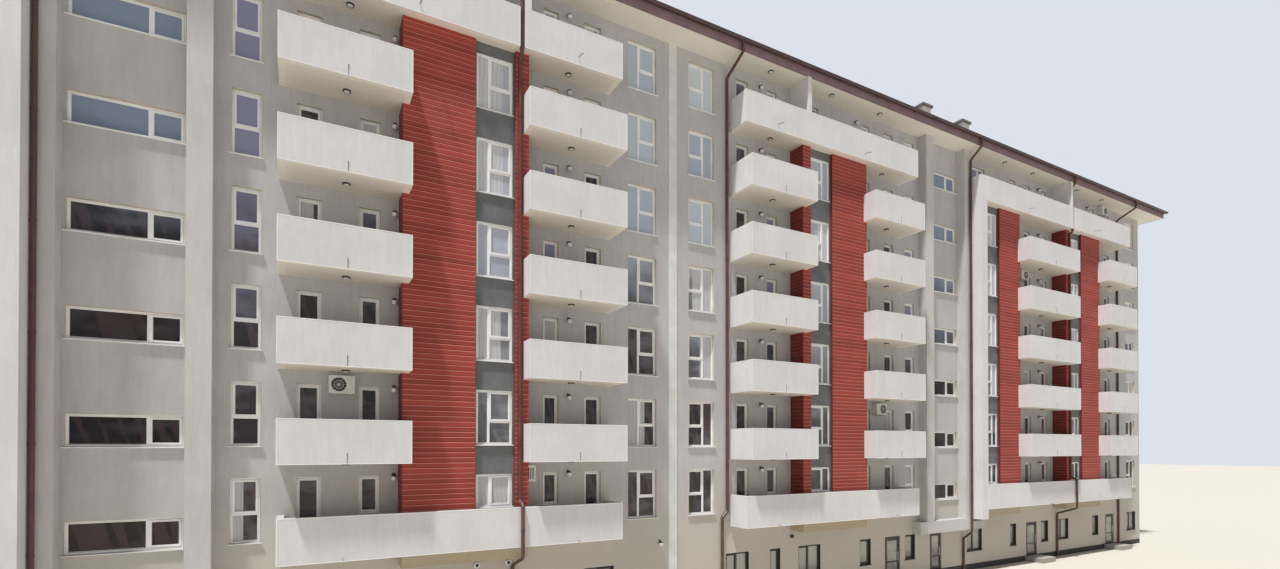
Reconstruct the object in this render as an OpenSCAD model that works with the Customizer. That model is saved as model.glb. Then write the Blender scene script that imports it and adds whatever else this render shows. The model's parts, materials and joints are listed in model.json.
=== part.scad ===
// Apartment block, a 1:2 scale model in millimetres, +Z up.
// Origin: on the ground, at the expansion joint, half way between the front and the rear.
// The front looks along -Y. One half is drawn from the joint outwards and mirrored,
// and the rear repeats the storeys of the front without its doorways.

/* [Storeys] */
// Top of the ground slab above the ground
ground_floor_z = 160; // [100:10:300]
// Top of the first upper floor above the ground
first_floor_z = 1822; // [1700:1:2000]
// Floor to floor height of the upper storeys
storey_h = 1375; // [1300:1:1500]
// Number of upper storeys
storeys = 7; // [4:1:8]
// Clear height from the highest floor to the eaves soffit
top_room_h = 1291; // [1250:1:1450]
// Thickness of the floor slabs
slab_t = 90; // [70:1:120]

/* [Plan] */
// Depth from the front wall face to the rear wall face
block_depth = 7500; // [6000:10:9000]
// Thickness of the outer walls
wall_t = 200; // [150:1:250]
// Open gap between the two halves at the expansion joint
joint_gap = 20; // [10:1:40]
// Width of the strip that covers the expansion joint
joint_cover_w = 185; // [120:1:260]
// Depth of the strip that covers the expansion joint
joint_cover_t = 12; // [6:1:30]
// Distance from the first room window to the first balcony
window_to_balcony = 396; // [350:1:440]
// Recessed wall of the first balcony, from the room window's side to the first bay
first_recess_w = 1700; // [1600:1:1900]
// Wall beside the second balcony, from the first bay to the inner pilaster
second_wall_w = 2407; // [2350:1:2600]
// Wall behind the third balcony, between the two bays of the wing
third_recess_w = 2450; // [2350:1:2700]
// Wall from the last bay to the outer face of the gable
end_wall_w = 3577; // [3500:1:3900]

/* [Bays] */
// How far the red walls of a bay stand out of the grey walls
bay_out = 388; // [300:1:480]
// Width of the narrow red wall beside a bay's windows
bay_narrow_w = 221; // [180:1:300]
// Width of the narrow red wall of the bay beside the white frame
frame_bay_narrow_w = 155; // [120:1:260]
// Width of a bay's window strip
bay_strip_w = 667; // [600:1:760]
// Width of the broad red wall of a bay
bay_broad_w = 1095; // [900:1:1300]
// Width of the broad red wall of the bay beside the white frame
frame_bay_broad_w = 960; // [800:1:1200]
// How far a bay's window strip lies back from its red walls
strip_back = 60; // [30:1:90]
// Thickness of the front walls of a bay
bay_wall_t = 150; // [110:1:200]
// Thickness of the cheeks that close a bay at its sides
bay_cheek_t = 100; // [80:1:140]
// Height of the bays' underside above the ground
bay_bottom_z = 1498; // [1400:1:1600]

/* [Stair] */
// Width of the inner pilaster beside the stair windows
inner_pilaster_w = 294; // [220:1:360]
// Width of the wall of the stair between its pilasters
stair_w = 1297; // [1260:1:1400]
// Width of the outer pilaster beside the stair windows
outer_pilaster_w = 221; // [160:1:260]
// How far the pilasters stand out
pilaster_out = 226; // [150:1:300]
// Width of the white frame between the stair and the wing
frame_w = 254; // [210:1:320]
// Underside of the white frame above the ground
frame_bottom_z = 1439; // [1380:1:1480]
// Underside of the entrance canopy above the ground
canopy_bottom_z = 1150; // [1140:1:1200]
// Top of the entrance canopy above the ground
canopy_top_z = 1454; // [1400:1:1500]
// How far the entrance canopy stands out of the wall
canopy_out = 240; // [230:1:400]
// How far the entrance canopy runs past the inner pilaster
canopy_past = 275; // [100:1:300]

/* [Windows] */
// Width of a room window
room_window_w = 635; // [560:1:700]
// Distance from the expansion joint to the first room window
room_window_u = 373; // [320:1:420]
// Distance from the gable to the last room window
end_window_in = 325; // [300:1:420]
// Width of the narrow window beside the stair
narrow_window_w = 368; // [320:1:400]
// Distance from the narrow window to the inner pilaster
narrow_window_in = 187; // [150:1:220]
// Sill of the room windows above their floor
room_sill = 162; // [120:1:260]
// Head of the room windows and balcony doors above their floor
room_head = 1085; // [1040:1:1150]
// Width of a balcony door
balcony_door_w = 340; // [320:1:370]
// Width of a small balcony window
balcony_window_w = 305; // [260:1:340]
// Sill of the small balcony windows above their floor
balcony_window_sill = 500; // [420:1:600]
// Width of a bay window
bay_window_w = 600; // [500:1:640]
// Sill of the bay windows above their floor
bay_sill = 187; // [140:1:260]
// Head of the bay windows above their floor
bay_head = 1081; // [1040:1:1150]
// Sill of the stair windows above the storey's floor
stair_sill = 147; // [100:1:300]
// Height of a stair window
stair_window_h = 427; // [380:1:600]
// Width of a stair window
stair_window_w = 1230; // [1000:1:1250]
// Distance from the first bay back to the small window beside it
first_window_in = 698; // [640:1:760]
// Distance from a bay to the small window of its outer balcony
outer_window_side = 275; // [230:1:330]
// Distance from the second bay to the hidden small window beside it
hidden_window_side = 210; // [180:1:300]
// Distance from the last bay back to the small window beside it
third_window_in = 610; // [560:1:680]
// Distance from the first balcony's outer end to its door
first_door_side = 167; // [130:1:220]
// Distance from the second balcony's outer end back to its door
second_door_in = 220; // [150:1:300]
// Distance from the second bay to the third balcony's door
third_door_side = 932; // [880:1:990]
// Distance from the fourth balcony's outer end back to its door
fourth_door_in = 110; // [100:1:220]
// Thickness of the glass with its sealed edges
pane_t = 16; // [10:1:24]
// How far the glass lies back from the outer face of its wall
pane_back = 70; // [40:1:90]
// Sill of the ground storey windows above the ground
ground_sill_z = 510; // [420:1:600]
// Head of the ground storey windows and doorways above the ground
ground_head_z = 1130; // [1110:1:1138]
// Width of the shop windows of the ground storey
ground_shop_w = 600; // [560:1:640]
// Width of the wide windows of the ground storey
ground_wide_w = 667; // [620:1:720]
// Width of the middling windows of the ground storey
ground_middle_w = 370; // [330:1:400]
// Width of the small windows of the ground storey
ground_small_w = 290; // [260:1:320]
// How far the first ground storey window starts before the first balcony
ground_1_past = 98; // [60:1:140]
// Distance from the first bay back to the second ground storey window
ground_2_in = 610; // [560:1:660]
// Distance from the first bay's start to the third ground storey window
ground_3_side = 221; // [190:1:260]
// Distance from the first bay's end to the fourth ground storey window
ground_4_side = 207; // [160:1:260]
// Distance from the inner pilaster back to the fifth ground storey window
ground_5_in = 565; // [530:1:600]
// Distance from the white frame's side to the sixth ground storey window
ground_6_side = 167; // [130:1:260]
// Distance from the second bay's end to the seventh ground storey window
ground_7_side = 168; // [120:1:220]
// Distance from the last bay back to the eighth ground storey window
ground_8_in = 667; // [620:1:720]
// Distance from the last bay's start to the ninth ground storey window
ground_9_side = 195; // [190:1:260]
// Distance from the last bay's end to the tenth ground storey window
ground_10_side = 350; // [300:1:420]

/* [Balconies] */
// How far the short balconies stand out of the grey walls
short_out = 742; // [650:1:850]
// How far the long balconies stand out of the grey walls
long_out = 555; // [520:1:620]
// Free length of a short balcony past its bay
short_free_w = 1641; // [1550:1:1680]
// Thickness of the parapets
parapet_t = 90; // [60:1:110]
// Height of the parapets above the floor
parapet_up = 535; // [480:1:600]
// How far the sills of the bays' lowest windows lie above the parapet in front of them
low_sill_up = 6; // [2:1:60]
// How far the parapets of the short balconies reach below the floor
short_drop = 98; // [95:1:140]
// How far the parapets of the long balconies reach below the floor
long_drop = 118; // [100:1:160]
// How far the balcony floor lies under the room floor
balcony_step = 8; // [4:1:20]
// Thickness of the walls that divide the highest balcony
divider_t = 110; // [90:1:150]

/* [Eaves and roof] */
// How far the fascias lie behind the fronts of the long balconies
eaves_in = 10; // [0:1:60]
// Thickness of the roof slab, whose underside is the soffit
roof_slab_t = 90; // [70:1:120]
// Height of the fascia boards above the soffit
fascia_h = 210; // [180:1:240]
// Thickness of the fascia boards
fascia_t = 25; // [15:1:40]
// Outer radius of the half-round gutters
gutter_r = 50; // [40:1:60]
// Thickness of the gutters' sheet
gutter_t = 5; // [3:1:8]
// How far the gutters' rims lie under the fascia's top
gutter_down = 4; // [2:1:12]
// Height of the gutters' flat back against the fascia
gutter_back = 24; // [16:1:30]
// Height of the ridge above the roof's lower edge
roof_rise = 1100; // [800:10:1400]
// Thickness of the roof skin
roof_t = 110; // [80:1:160]
// Width of a chimney along the roof
chimney_w = 340; // [300:1:500]
// Distance from the outer pilaster back to the first chimney's start
first_chimney_in = 380; // [340:1:480]
// Distance from the second bay's start to the second chimney
second_chimney_side = 910; // [600:1:1000]
// Depth of a chimney
chimney_d = 300; // [240:1:400]
// Top of the chimneys above the roof's lower edge
chimney_top = 1340; // [1100:1:1500]
// How far the chimneys stand behind the front wall face
chimney_in = 740; // [600:1:1000]
// Height of a chimney's cap
cap_h = 60; // [40:1:90]
// How far a chimney's cap stands out
cap_out = 45; // [30:1:80]

/* [Doors] */
// Width of a doorway of the shops
shop_door_w = 560; // [520:1:600]
// Width of the doorway of the stair
stair_door_w = 470; // [440:1:500]
// Distance from the first bay's end to the shop doorway
shop_doorway_side = 1090; // [1060:1:1120]
// Distance from the inner pilaster to the stair doorway
stair_doorway_side = 115; // [80:1:160]
// Distance from the second bay's end to the wing doorway
wing_doorway_side = 982; // [940:1:1020]
// Distance from the last bay's end to the end doorway
end_doorway_side = 1190; // [1140:1:1240]
// Width of the door frames
door_frame_w = 40; // [30:1:55]
// Depth of the door frames
door_frame_d = 90; // [60:1:120]
// Thickness of the door leaves
leaf_t = 30; // [24:1:40]
// Gap round a door leaf
leaf_gap = 6; // [5:1:8]
// Radius of the door hinges' knuckles
hinge_r = 6; // [5:0.5:8]
// Height of each half of a knuckle
hinge_h = 45; // [30:1:60]
// Play between the two halves of a knuckle
hinge_play = 0.3; // [0.2:0.1:0.5]
// Width of the hinge plates
hinge_plate_w = 30; // [24:1:36]
// Thickness of the hinge plates
hinge_plate_t = 3; // [2:0.5:4]
// Distance from the leaf's lower and upper edge to the middle of its outer hinges
hinge_end = 130; // [100:1:200]
// How far the door frames lie back from the wall face
door_back = 30; // [20:1:60]
// Length of a landing in front of a doorway
landing_l = 500; // [400:10:700]
// How far a landing reaches past its doorway
landing_side = 60; // [40:1:120]
// Height of the step down from the ground floor to a landing
landing_step = 20; // [10:1:40]

/* [Pipes and units] */
// Radius of the downpipes
pipe_r = 30; // [22:1:40]
// Gap between a downpipe and the wall behind it
pipe_gap = 10; // [5:1:20]
// Width of the gap that the highest parapet leaves for a downpipe
pipe_slot = 84; // [80:1:110]
// Distance from the first downpipe to the first balcony
first_pipe_side = 58; // [40:1:90]
// How far the first downpipe jogs sideways at the first upper storey
first_pipe_jog = 130; // [100:1:150]
// Height of the first downpipe's jog above the floor
first_jog_up = 195; // [150:1:300]
// Distance from the last balcony to the last downpipe's middle
end_pipe_side = 353; // [300:1:400]
// How far a downpipe runs below the soffit before it turns to the wall
neck_top = 40; // [35:1:80]
// How far a downpipe comes down on its way to the wall
neck_drop = 260; // [180:1:400]
// How far above a parapet and below a balcony a downpipe turns
pipe_turn = 60; // [55:1:90]
// Radius of the downpipes' bends along their middle
bend_r = 45; // [40:1:52]
// How far a downpipe comes down on its way back to the wall of the ground storey
under_drop = 200; // [190:1:260]
// Width of an air conditioner's outdoor unit
unit_w = 350; // [320:1:380]
// Depth of an air conditioner's outdoor unit
unit_d = 150; // [120:1:170]
// Height of an air conditioner's outdoor unit
unit_h = 270; // [240:1:300]
// Height of the outdoor units above the storey's floor
unit_up = 944; // [900:1:960]
// Distance from the first bay to the outdoor units beside it
first_unit_side = 640; // [600:1:660]
// Distance from the second bay to the outdoor unit beside it
second_unit_side = 550; // [530:1:570]
// Distance from the last bay to the outdoor unit of the highest storey
top_unit_side = 780; // [700:1:800]
// Distance from the grey wall to the outdoor unit on a bay's cheek
cheek_unit_in = 20; // [10:1:40]

/* [Hidden] */

// Places along one half, measured from the expansion joint
bay_1 = room_window_u + room_window_w + window_to_balcony + first_recess_w;
bay_w = bay_narrow_w + bay_strip_w + bay_broad_w;
pilaster_1 = bay_1 + bay_w + second_wall_w;
stair_0 = pilaster_1 + inner_pilaster_w;
stair_1 = stair_0 + stair_w;
frame_0 = stair_1 + outer_pilaster_w;
bay_2 = frame_0 + frame_w;
frame_bay_w = frame_bay_narrow_w + bay_strip_w + frame_bay_broad_w;
bay_3 = bay_2 + frame_bay_w + third_recess_w;
half_l = bay_3 + bay_w + end_wall_w;
short_1 = bay_1 - first_recess_w;

// Each bay: its start, the width of its narrow wall and the width of its broad wall
bays = [[bay_1, bay_narrow_w, bay_broad_w], [bay_2, frame_bay_narrow_w, frame_bay_broad_w],
    [bay_3, bay_narrow_w, bay_broad_w]];
function bay_end(b) = b[0] + b[1] + bay_strip_w + b[2];
function strip_0(b) = b[0] + b[1];

// Levels
front_y = -block_depth / 2;
eaves_out = long_out - eaves_in;
soffit_z = first_floor_z + (storeys - 1) * storey_h + top_room_h;
roof_z = soffit_z + fascia_h;
wall_base_z = first_floor_z - slab_t;
function floor_z(i) = first_floor_z + i * storey_h;
top = storeys - 1;
top_wall_z = floor_z(top) - slab_t;
bay_top_z = floor_z(top) - long_drop;
low_bay_sill = parapet_up + low_sill_up;

// Short balconies: start and end along the wall
shorts = [[short_1, bay_1 + parapet_t], [bay_end(bays[0]) - parapet_t, bay_end(bays[0]) + short_free_w],
    [bay_end(bays[1]) - parapet_t, bay_3 + parapet_t],
    [bay_end(bays[2]) - parapet_t, bay_end(bays[2]) + short_free_w]];
long_levels = [0, top];
function bay_pipe_u(b) = b[0] + divider_t + pipe_slot / 2;

// Openings of the upper walls: start, width, sill and head above the floor
room_holes = [[room_window_u, room_window_w, room_sill, room_head],
    [bay_1 - first_window_in, balcony_window_w, balcony_window_sill, room_head],
    [bay_end(bays[0]) + outer_window_side, balcony_window_w, balcony_window_sill, room_head],
    [pilaster_1 - narrow_window_in - narrow_window_w, narrow_window_w, room_sill, room_head],
    [bay_end(bays[1]) + hidden_window_side, balcony_window_w, balcony_window_sill, room_head],
    [bay_3 - third_window_in, balcony_window_w, balcony_window_sill, room_head],
    [bay_end(bays[2]) + outer_window_side, balcony_window_w, balcony_window_sill, room_head],
    [half_l - end_window_in - room_window_w, room_window_w, room_sill, room_head]];
balcony_door_holes = [[short_1 + first_door_side, balcony_door_w, 0, room_head],
    [shorts[1][1] - second_door_in - balcony_door_w, balcony_door_w, 0, room_head],
    [bay_end(bays[1]) + third_door_side, balcony_door_w, 0, room_head],
    [shorts[3][1] - fourth_door_in - balcony_door_w, balcony_door_w, 0, room_head]];
stair_holes = [[stair_0 + (stair_w - stair_window_w) / 2, stair_window_w, stair_sill,
    stair_sill + stair_window_h]];

// Doorways of the ground storey: start and width
shop_doorway = [bay_end(bays[0]) + shop_doorway_side, shop_door_w];
stair_doorway = [stair_0 + stair_doorway_side, stair_door_w];
wing_doorway = [bay_end(bays[1]) + wing_doorway_side, shop_door_w];
end_doorway = [bay_end(bays[2]) + end_doorway_side, shop_door_w];
doorways = [shop_doorway, stair_doorway, wing_doorway, end_doorway];

// Windows of the ground storey: start and width
ground_windows = [[short_1 - ground_1_past, ground_shop_w], [bay_1 - ground_2_in, ground_small_w],
    [bay_1 + ground_3_side, ground_wide_w], [bay_end(bays[0]) + ground_4_side, ground_middle_w],
    [pilaster_1 - ground_5_in, ground_middle_w], [frame_0 + ground_6_side, ground_wide_w],
    [bay_end(bays[1]) + ground_7_side, ground_small_w], [bay_3 - ground_8_in, ground_middle_w],
    [bay_3 + ground_9_side, ground_wide_w], [bay_end(bays[2]) + ground_10_side, ground_middle_w],
    [half_l - end_window_in - ground_shop_w, ground_shop_w]];

// Draws its children on the front, for the right and the left half
module front_halves() {
    for (side = [0, 1]) mirror([side, 0, 0]) translate([0, front_y, 0]) children();
}

// Draws its children on the front of the left half
module left_front() {
    mirror([1, 0, 0]) translate([0, front_y, 0]) children();
}

// Draws its children on the front of the right half and on the rear of both halves
module other_halves() {
    translate([0, front_y, 0]) children();
    mirror([0, 1, 0]) front_halves() children();
}

// Draws its children on the front and the rear, for both halves
module all_halves() {
    left_front() children();
    other_halves() children();
}

// A box between two places along the wall, two distances out of it and two heights
module block(u0, u1, out0, out1, z0, z1) {
    translate([u0, -out1, z0]) cube([u1 - u0, out1 - out0, z1 - z0]);
}

// A wall plate in elevation, its outer face the given distance out, with its children cut away
module wall_plate(u0, u1, z0, z1, thick, out = 0) {
    translate([0, thick - out, 0]) rotate([90, 0, 0]) linear_extrude(thick) difference() {
        translate([u0, z0]) square([u1 - u0, z1 - z0]);
        children();
    }
}

// The window openings of the upper storeys in elevation
module upper_openings(holes, first = 0, last = top) {
    for (i = [first : last], h = holes)
        translate([h[0], floor_z(i) + h[2]]) square([h[1], h[3] - h[2]]);
}

// The panes that fill these openings, the given distance out of the wall plane
module upper_panes(holes, out, first = 0, last = top) {
    for (i = [first : last], h = holes)
        block(h[0], h[0] + h[1], out - pane_t, out, floor_z(i) + h[2], floor_z(i) + h[3]);
}

module plinth() {
    color("dimgray") translate([-half_l, front_y, 0]) cube([2 * half_l, block_depth, ground_floor_z]);
}

module floor_slabs() {
    color("lightgray") for (side = [0, 1], i = [0 : storeys - 1]) mirror([side, 0, 0])
        translate([joint_gap / 2, front_y + wall_t, floor_z(i) - slab_t])
            cube([half_l - wall_t - joint_gap / 2, block_depth - 2 * wall_t, slab_t]);
}

module bay_floors() {
    color("gainsboro") all_halves() for (b = bays, i = [0 : top - 1])
        block(b[0] + bay_cheek_t, bay_end(b) - bay_cheek_t, -wall_t, bay_out - bay_wall_t,
            floor_z(i) - slab_t, floor_z(i));
}

module bay_bases() {
    color("gainsboro") all_halves() for (b = bays)
        block(b[0], bay_end(b), 0, bay_out, bay_bottom_z, wall_base_z);
}

module roof_slab() {
    over = eaves_out - fascia_t;
    color("bisque") translate([-half_l - over, front_y - over, soffit_z])
        cube([2 * (half_l + over), block_depth + 2 * over, roof_slab_t]);
}

module grey_wall(u0, u1, z0 = wall_base_z, z1 = top_wall_z) {
    wall_plate(u0, u1, z0, z1, wall_t) {
        upper_openings(room_holes);
        upper_openings(balcony_door_holes);
        if (z1 > top_wall_z) for (b = bays) upper_openings(strip_holes(b));
    }
}

module grey_walls() {
    color("darkgray") all_halves() {
        grey_wall(joint_gap / 2, bay_1 + bay_cheek_t);
        grey_wall(bay_end(bays[0]) - bay_cheek_t, stair_0);
        grey_wall(stair_1, bay_2 + bay_cheek_t);
        grey_wall(bay_end(bays[1]) - bay_cheek_t, bay_3 + bay_cheek_t);
        grey_wall(bay_end(bays[2]) - bay_cheek_t, half_l - wall_t);
    }
}

// The walls of the highest storey, which has no bays
module top_walls() {
    color("darkgray") all_halves() {
        grey_wall(joint_gap / 2, stair_0, top_wall_z, soffit_z);
        grey_wall(stair_1, half_l - wall_t, top_wall_z, soffit_z);
    }
}

module stair_walls() {
    color("silver") all_halves() wall_plate(stair_0, stair_1, wall_base_z, soffit_z, wall_t)
        upper_openings(stair_holes);
}

module gable_walls() {
    color("darkgray") for (side = [0, 1]) mirror([side, 0, 0])
        translate([half_l - wall_t, front_y, ground_floor_z])
            cube([wall_t, block_depth, soffit_z - ground_floor_z]);
}

module ground_openings() {
    for (w = ground_windows) translate([w[0], ground_sill_z]) square([w[1], ground_head_z - ground_sill_z]);
}

module ground_wall(u0, u1) {
    wall_plate(u0, u1, ground_floor_z, wall_base_z, wall_t) ground_openings();
}

module ground_walls() {
    starts = [joint_gap / 2, for (d = doorways) d[0] + d[1]];
    ends = [for (d = doorways) d[0], half_l - wall_t];
    color("gray") {
        front_halves() for (k = [0 : len(starts) - 1]) ground_wall(starts[k], ends[k]);
        mirror([0, 1, 0]) front_halves() ground_wall(joint_gap / 2, half_l - wall_t);
    }
}

module door_lintels() {
    color("gray") front_halves() for (d = doorways)
        block(d[0], d[0] + d[1], -wall_t, 0, ground_head_z, wall_base_z);
}

module joint_covers() {
    color("honeydew") for (back = [0, 1]) mirror([0, back, 0]) translate([-joint_cover_w / 2, 0, 0])
        translate([0, front_y - joint_cover_t, ground_floor_z])
            cube([joint_cover_w, joint_cover_t, soffit_z - ground_floor_z]);
}

module pilasters() {
    color("lightgray") all_halves() {
        block(pilaster_1, stair_0, 0, pilaster_out, canopy_top_z, soffit_z);
        block(stair_1, frame_0, 0, pilaster_out, canopy_top_z, soffit_z);
    }
}

module white_frames() {
    color("whitesmoke") all_halves()
        block(frame_0, bay_2, 0, long_out, frame_bottom_z, floor_z(top) + parapet_up);
}

module entrance_canopies() {
    color("gainsboro") front_halves()
        block(pilaster_1 - canopy_past, frame_0, 0, canopy_out, canopy_bottom_z, canopy_top_z);
}

module red_walls() {
    color("indianred") all_halves() for (b = bays) {
        block(b[0], strip_0(b), bay_out - bay_wall_t, bay_out, wall_base_z, bay_top_z);
        block(strip_0(b) + bay_strip_w, bay_end(b), bay_out - bay_wall_t, bay_out, wall_base_z, bay_top_z);
    }
}

// The window of a bay's strip, with the given sill
function strip_holes(b, sill = bay_sill) =
    [[strip_0(b) + (bay_strip_w - bay_window_w) / 2, bay_window_w, sill, bay_head]];

module bay_strips() {
    color("slategray") all_halves() for (b = bays)
        wall_plate(strip_0(b), strip_0(b) + bay_strip_w, wall_base_z, bay_top_z,
            bay_wall_t - strip_back, bay_out - strip_back) {
            upper_openings(strip_holes(b, low_bay_sill), 0, 0);
            upper_openings(strip_holes(b), 1, top - 1);
        }
}

module bay_cheeks() {
    color("firebrick") all_halves() for (b = bays) {
        block(b[0], b[0] + bay_cheek_t, 0, bay_out - bay_wall_t, wall_base_z, bay_top_z);
        block(bay_end(b) - bay_cheek_t, bay_end(b), 0, bay_out - bay_wall_t, wall_base_z, bay_top_z);
    }
}

// A balcony slab between two places, its top a step under the room floor, as deep as its parapet
module balcony_slab(u0, u1, out0, out1, i) {
    drop = i == 0 || i == top ? long_drop : short_drop;
    block(u0, u1, out0, out1, floor_z(i) - drop, floor_z(i) - balcony_step);
}

module balcony_slabs() {
    color("wheat") all_halves() {
        for (i = [1 : top - 1]) {
            balcony_slab(shorts[0][0] + parapet_t, bay_1, 0, short_out - parapet_t, i);
            balcony_slab(bay_end(bays[0]), shorts[1][1] - parapet_t, 0, short_out - parapet_t, i);
            balcony_slab(bay_end(bays[1]), bay_3, 0, short_out - parapet_t, i);
            balcony_slab(bay_end(bays[2]), shorts[3][1] - parapet_t, 0, short_out - parapet_t, i);
        }
        balcony_slab(short_1 + parapet_t, bay_1, 0, long_out - parapet_t, 0);
        balcony_slab(bay_end(bays[0]), shorts[1][1] - parapet_t, 0, long_out - parapet_t, 0);
        balcony_slab(bay_end(bays[1]), bay_3, 0, long_out - parapet_t, 0);
        balcony_slab(bay_end(bays[2]), shorts[3][1] - parapet_t, 0, long_out - parapet_t, 0);
        balcony_slab(short_1 + parapet_t, shorts[1][1] - parapet_t, 0, long_out - parapet_t, top);
        balcony_slab(bay_2, shorts[3][1] - parapet_t, 0, long_out - parapet_t, top);
    }
}

// The strips of the lowest balcony's floor that pass in front of the bays
module long_ledges() {
    color("wheat") all_halves() for (b = bays)
        balcony_slab(b[0], bay_end(b), bay_out, long_out - parapet_t, 0);
}

// The front of a long balcony at one storey
module long_front(u0, u1, i) {
    block(u0, u1, long_out - parapet_t, long_out, floor_z(i) - long_drop, floor_z(i) + parapet_up);
}

module parapet_fronts() {
    slot_1 = bay_pipe_u(bays[0]);
    slot_3 = bay_pipe_u(bays[2]);
    color("ivory") {
        all_halves() {
            for (s = shorts, i = [1 : top - 1])
                block(s[0], s[1], short_out - parapet_t, short_out, floor_z(i) - short_drop,
                    floor_z(i) + parapet_up);
            long_front(short_1, shorts[1][1], 0);
            long_front(bay_2, shorts[3][1], 0);
            long_front(bay_2, slot_3 - pipe_slot / 2, top);
            long_front(slot_3 + pipe_slot / 2, shorts[3][1], top);
        }
        other_halves() long_front(short_1, shorts[1][1], top);
        left_front() {
            long_front(short_1, slot_1 - pipe_slot / 2, top);
            long_front(slot_1 + pipe_slot / 2, shorts[1][1], top);
        }
    }
}

// A return wall of a parapet at one storey
module return_wall(u0, out0, out1, i, drop) {
    block(u0, u0 + parapet_t, out0, out1 - parapet_t, floor_z(i) - drop, floor_z(i) + parapet_up);
}

module parapet_returns() {
    color("ivory") all_halves() {
        for (i = [1 : top - 1]) {
            return_wall(shorts[0][0], 0, short_out, i, short_drop);
            return_wall(shorts[0][1] - parapet_t, bay_out, short_out, i, short_drop);
            return_wall(shorts[1][0], bay_out, short_out, i, short_drop);
            return_wall(shorts[1][1] - parapet_t, 0, short_out, i, short_drop);
            return_wall(shorts[2][0], bay_out, short_out, i, short_drop);
            return_wall(shorts[2][1] - parapet_t, bay_out, short_out, i, short_drop);
            return_wall(shorts[3][0], bay_out, short_out, i, short_drop);
            return_wall(shorts[3][1] - parapet_t, 0, short_out, i, short_drop);
        }
        for (i = long_levels) {
            return_wall(short_1, 0, long_out, i, long_drop);
            return_wall(shorts[1][1] - parapet_t, 0, long_out, i, long_drop);
            return_wall(shorts[3][1] - parapet_t, 0, long_out, i, long_drop);
        }
    }
}

module balcony_dividers() {
    color("ivory") all_halves() for (b = [bays[0], bays[2]]) {
        block(b[0], b[0] + divider_t, 0, long_out - parapet_t, floor_z(top) - balcony_step, soffit_z);
        block(b[0], b[0] + divider_t, long_out - parapet_t, long_out, floor_z(top) + parapet_up, soffit_z);
    }
}

module room_panes() {
    color("lightsteelblue") all_halves() {
        upper_panes(room_holes, -pane_back);
        for (b = bays) upper_panes(strip_holes(b), -pane_back, top, top);
    }
}

module balcony_door_panes() {
    color("lightsteelblue") all_halves() upper_panes(balcony_door_holes, -pane_back);
}

module bay_panes() {
    out = bay_out - strip_back - (bay_wall_t - strip_back - pane_t) / 2;
    color("lightsteelblue") all_halves() for (b = bays) {
        upper_panes(strip_holes(b, low_bay_sill), out, 0, 0);
        upper_panes(strip_holes(b), out, 1, top - 1);
    }
}

module stair_panes() {
    color("lightsteelblue") all_halves() upper_panes(stair_holes, -pane_back);
}

module ground_panes() {
    color("slategray") all_halves() for (w = ground_windows)
        block(w[0], w[0] + w[1], -pane_back - pane_t, -pane_back, ground_sill_z, ground_head_z);
}

module long_fascias() {
    color("rosybrown") for (back = [0, 1]) mirror([0, back, 0])
        translate([-half_l - eaves_out, front_y - eaves_out, soffit_z])
            cube([2 * (half_l + eaves_out), fascia_t, fascia_h]);
}

module end_fascias() {
    color("rosybrown") for (side = [0, 1]) mirror([side, 0, 0])
        translate([half_l + eaves_out - fascia_t, front_y - eaves_out + fascia_t, soffit_z])
            cube([fascia_t, block_depth + 2 * (eaves_out - fascia_t), fascia_h]);
}

// A half-round gutter with closed ends, lying along X from the origin at its rim's height
module gutter(length) {
    translate([0, gutter_r - gutter_t, -gutter_back]) cube([length, gutter_t, gutter_back]);
    difference() {
        rotate([0, 90, 0]) cylinder(r = gutter_r, h = length, $fn = 32);
        translate([gutter_t, 0, 0]) rotate([0, 90, 0])
            cylinder(r = gutter_r - gutter_t, h = length - 2 * gutter_t, $fn = 32);
        translate([-1, -gutter_r - 1, 0]) cube([length + 2, 2 * gutter_r + 2, gutter_r + 1]);
    }
}

gutter_z = roof_z - gutter_down;

module long_gutters() {
    reach = half_l + eaves_out + 2 * gutter_r;
    color("dimgray") for (back = [0, 1]) mirror([0, back, 0])
        translate([-reach, front_y - eaves_out - gutter_r, gutter_z]) gutter(2 * reach);
}

module end_gutters() {
    reach = block_depth / 2 + eaves_out;
    color("dimgray") for (side = [0, 1]) mirror([side, 0, 0])
        translate([half_l + eaves_out + gutter_r, -reach, gutter_z]) rotate([0, 0, 90]) gutter(2 * reach);
}

// The closed form of a hipped roof over a rectangle, with slopes of one pitch on all sides
module hip_form(length, depth, rise) {
    ridge = (length - depth) / 2;
    polyhedron(
        points = [[-length / 2, -depth / 2, 0], [length / 2, -depth / 2, 0], [length / 2, depth / 2, 0],
            [-length / 2, depth / 2, 0], [-ridge, 0, rise], [ridge, 0, rise]],
        faces = [[0, 1, 2, 3], [0, 4, 5, 1], [1, 5, 2], [2, 5, 4, 3], [3, 4, 0]]);
}

module roof_form() {
    hip_form(2 * (half_l + eaves_out), block_depth + 2 * eaves_out, roof_rise);
}

module roof() {
    pitch = atan(roof_rise / (block_depth / 2 + eaves_out));
    inner = roof_t / sin(pitch);
    color("saddlebrown") translate([0, 0, roof_z]) difference() {
        roof_form();
        translate([0, 0, -1]) hip_form(2 * (half_l + eaves_out - inner),
            block_depth + 2 * (eaves_out - inner), roof_rise - roof_t / cos(pitch));
    }
}

// Places of the chimneys along one half
chimney_places = [stair_1 - first_chimney_in, bay_2 + second_chimney_side];

module chimneys() {
    color("beige") difference() {
        front_halves() for (u = chimney_places)
            translate([u, chimney_in, roof_z]) cube([chimney_w, chimney_d, chimney_top]);
        translate([0, 0, roof_z]) roof_form();
    }
}

module chimney_caps() {
    color("dimgray") front_halves() for (u = chimney_places)
        translate([u - cap_out, chimney_in - cap_out, roof_z + chimney_top])
            cube([chimney_w + 2 * cap_out, chimney_d + 2 * cap_out, cap_h]);
}

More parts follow.
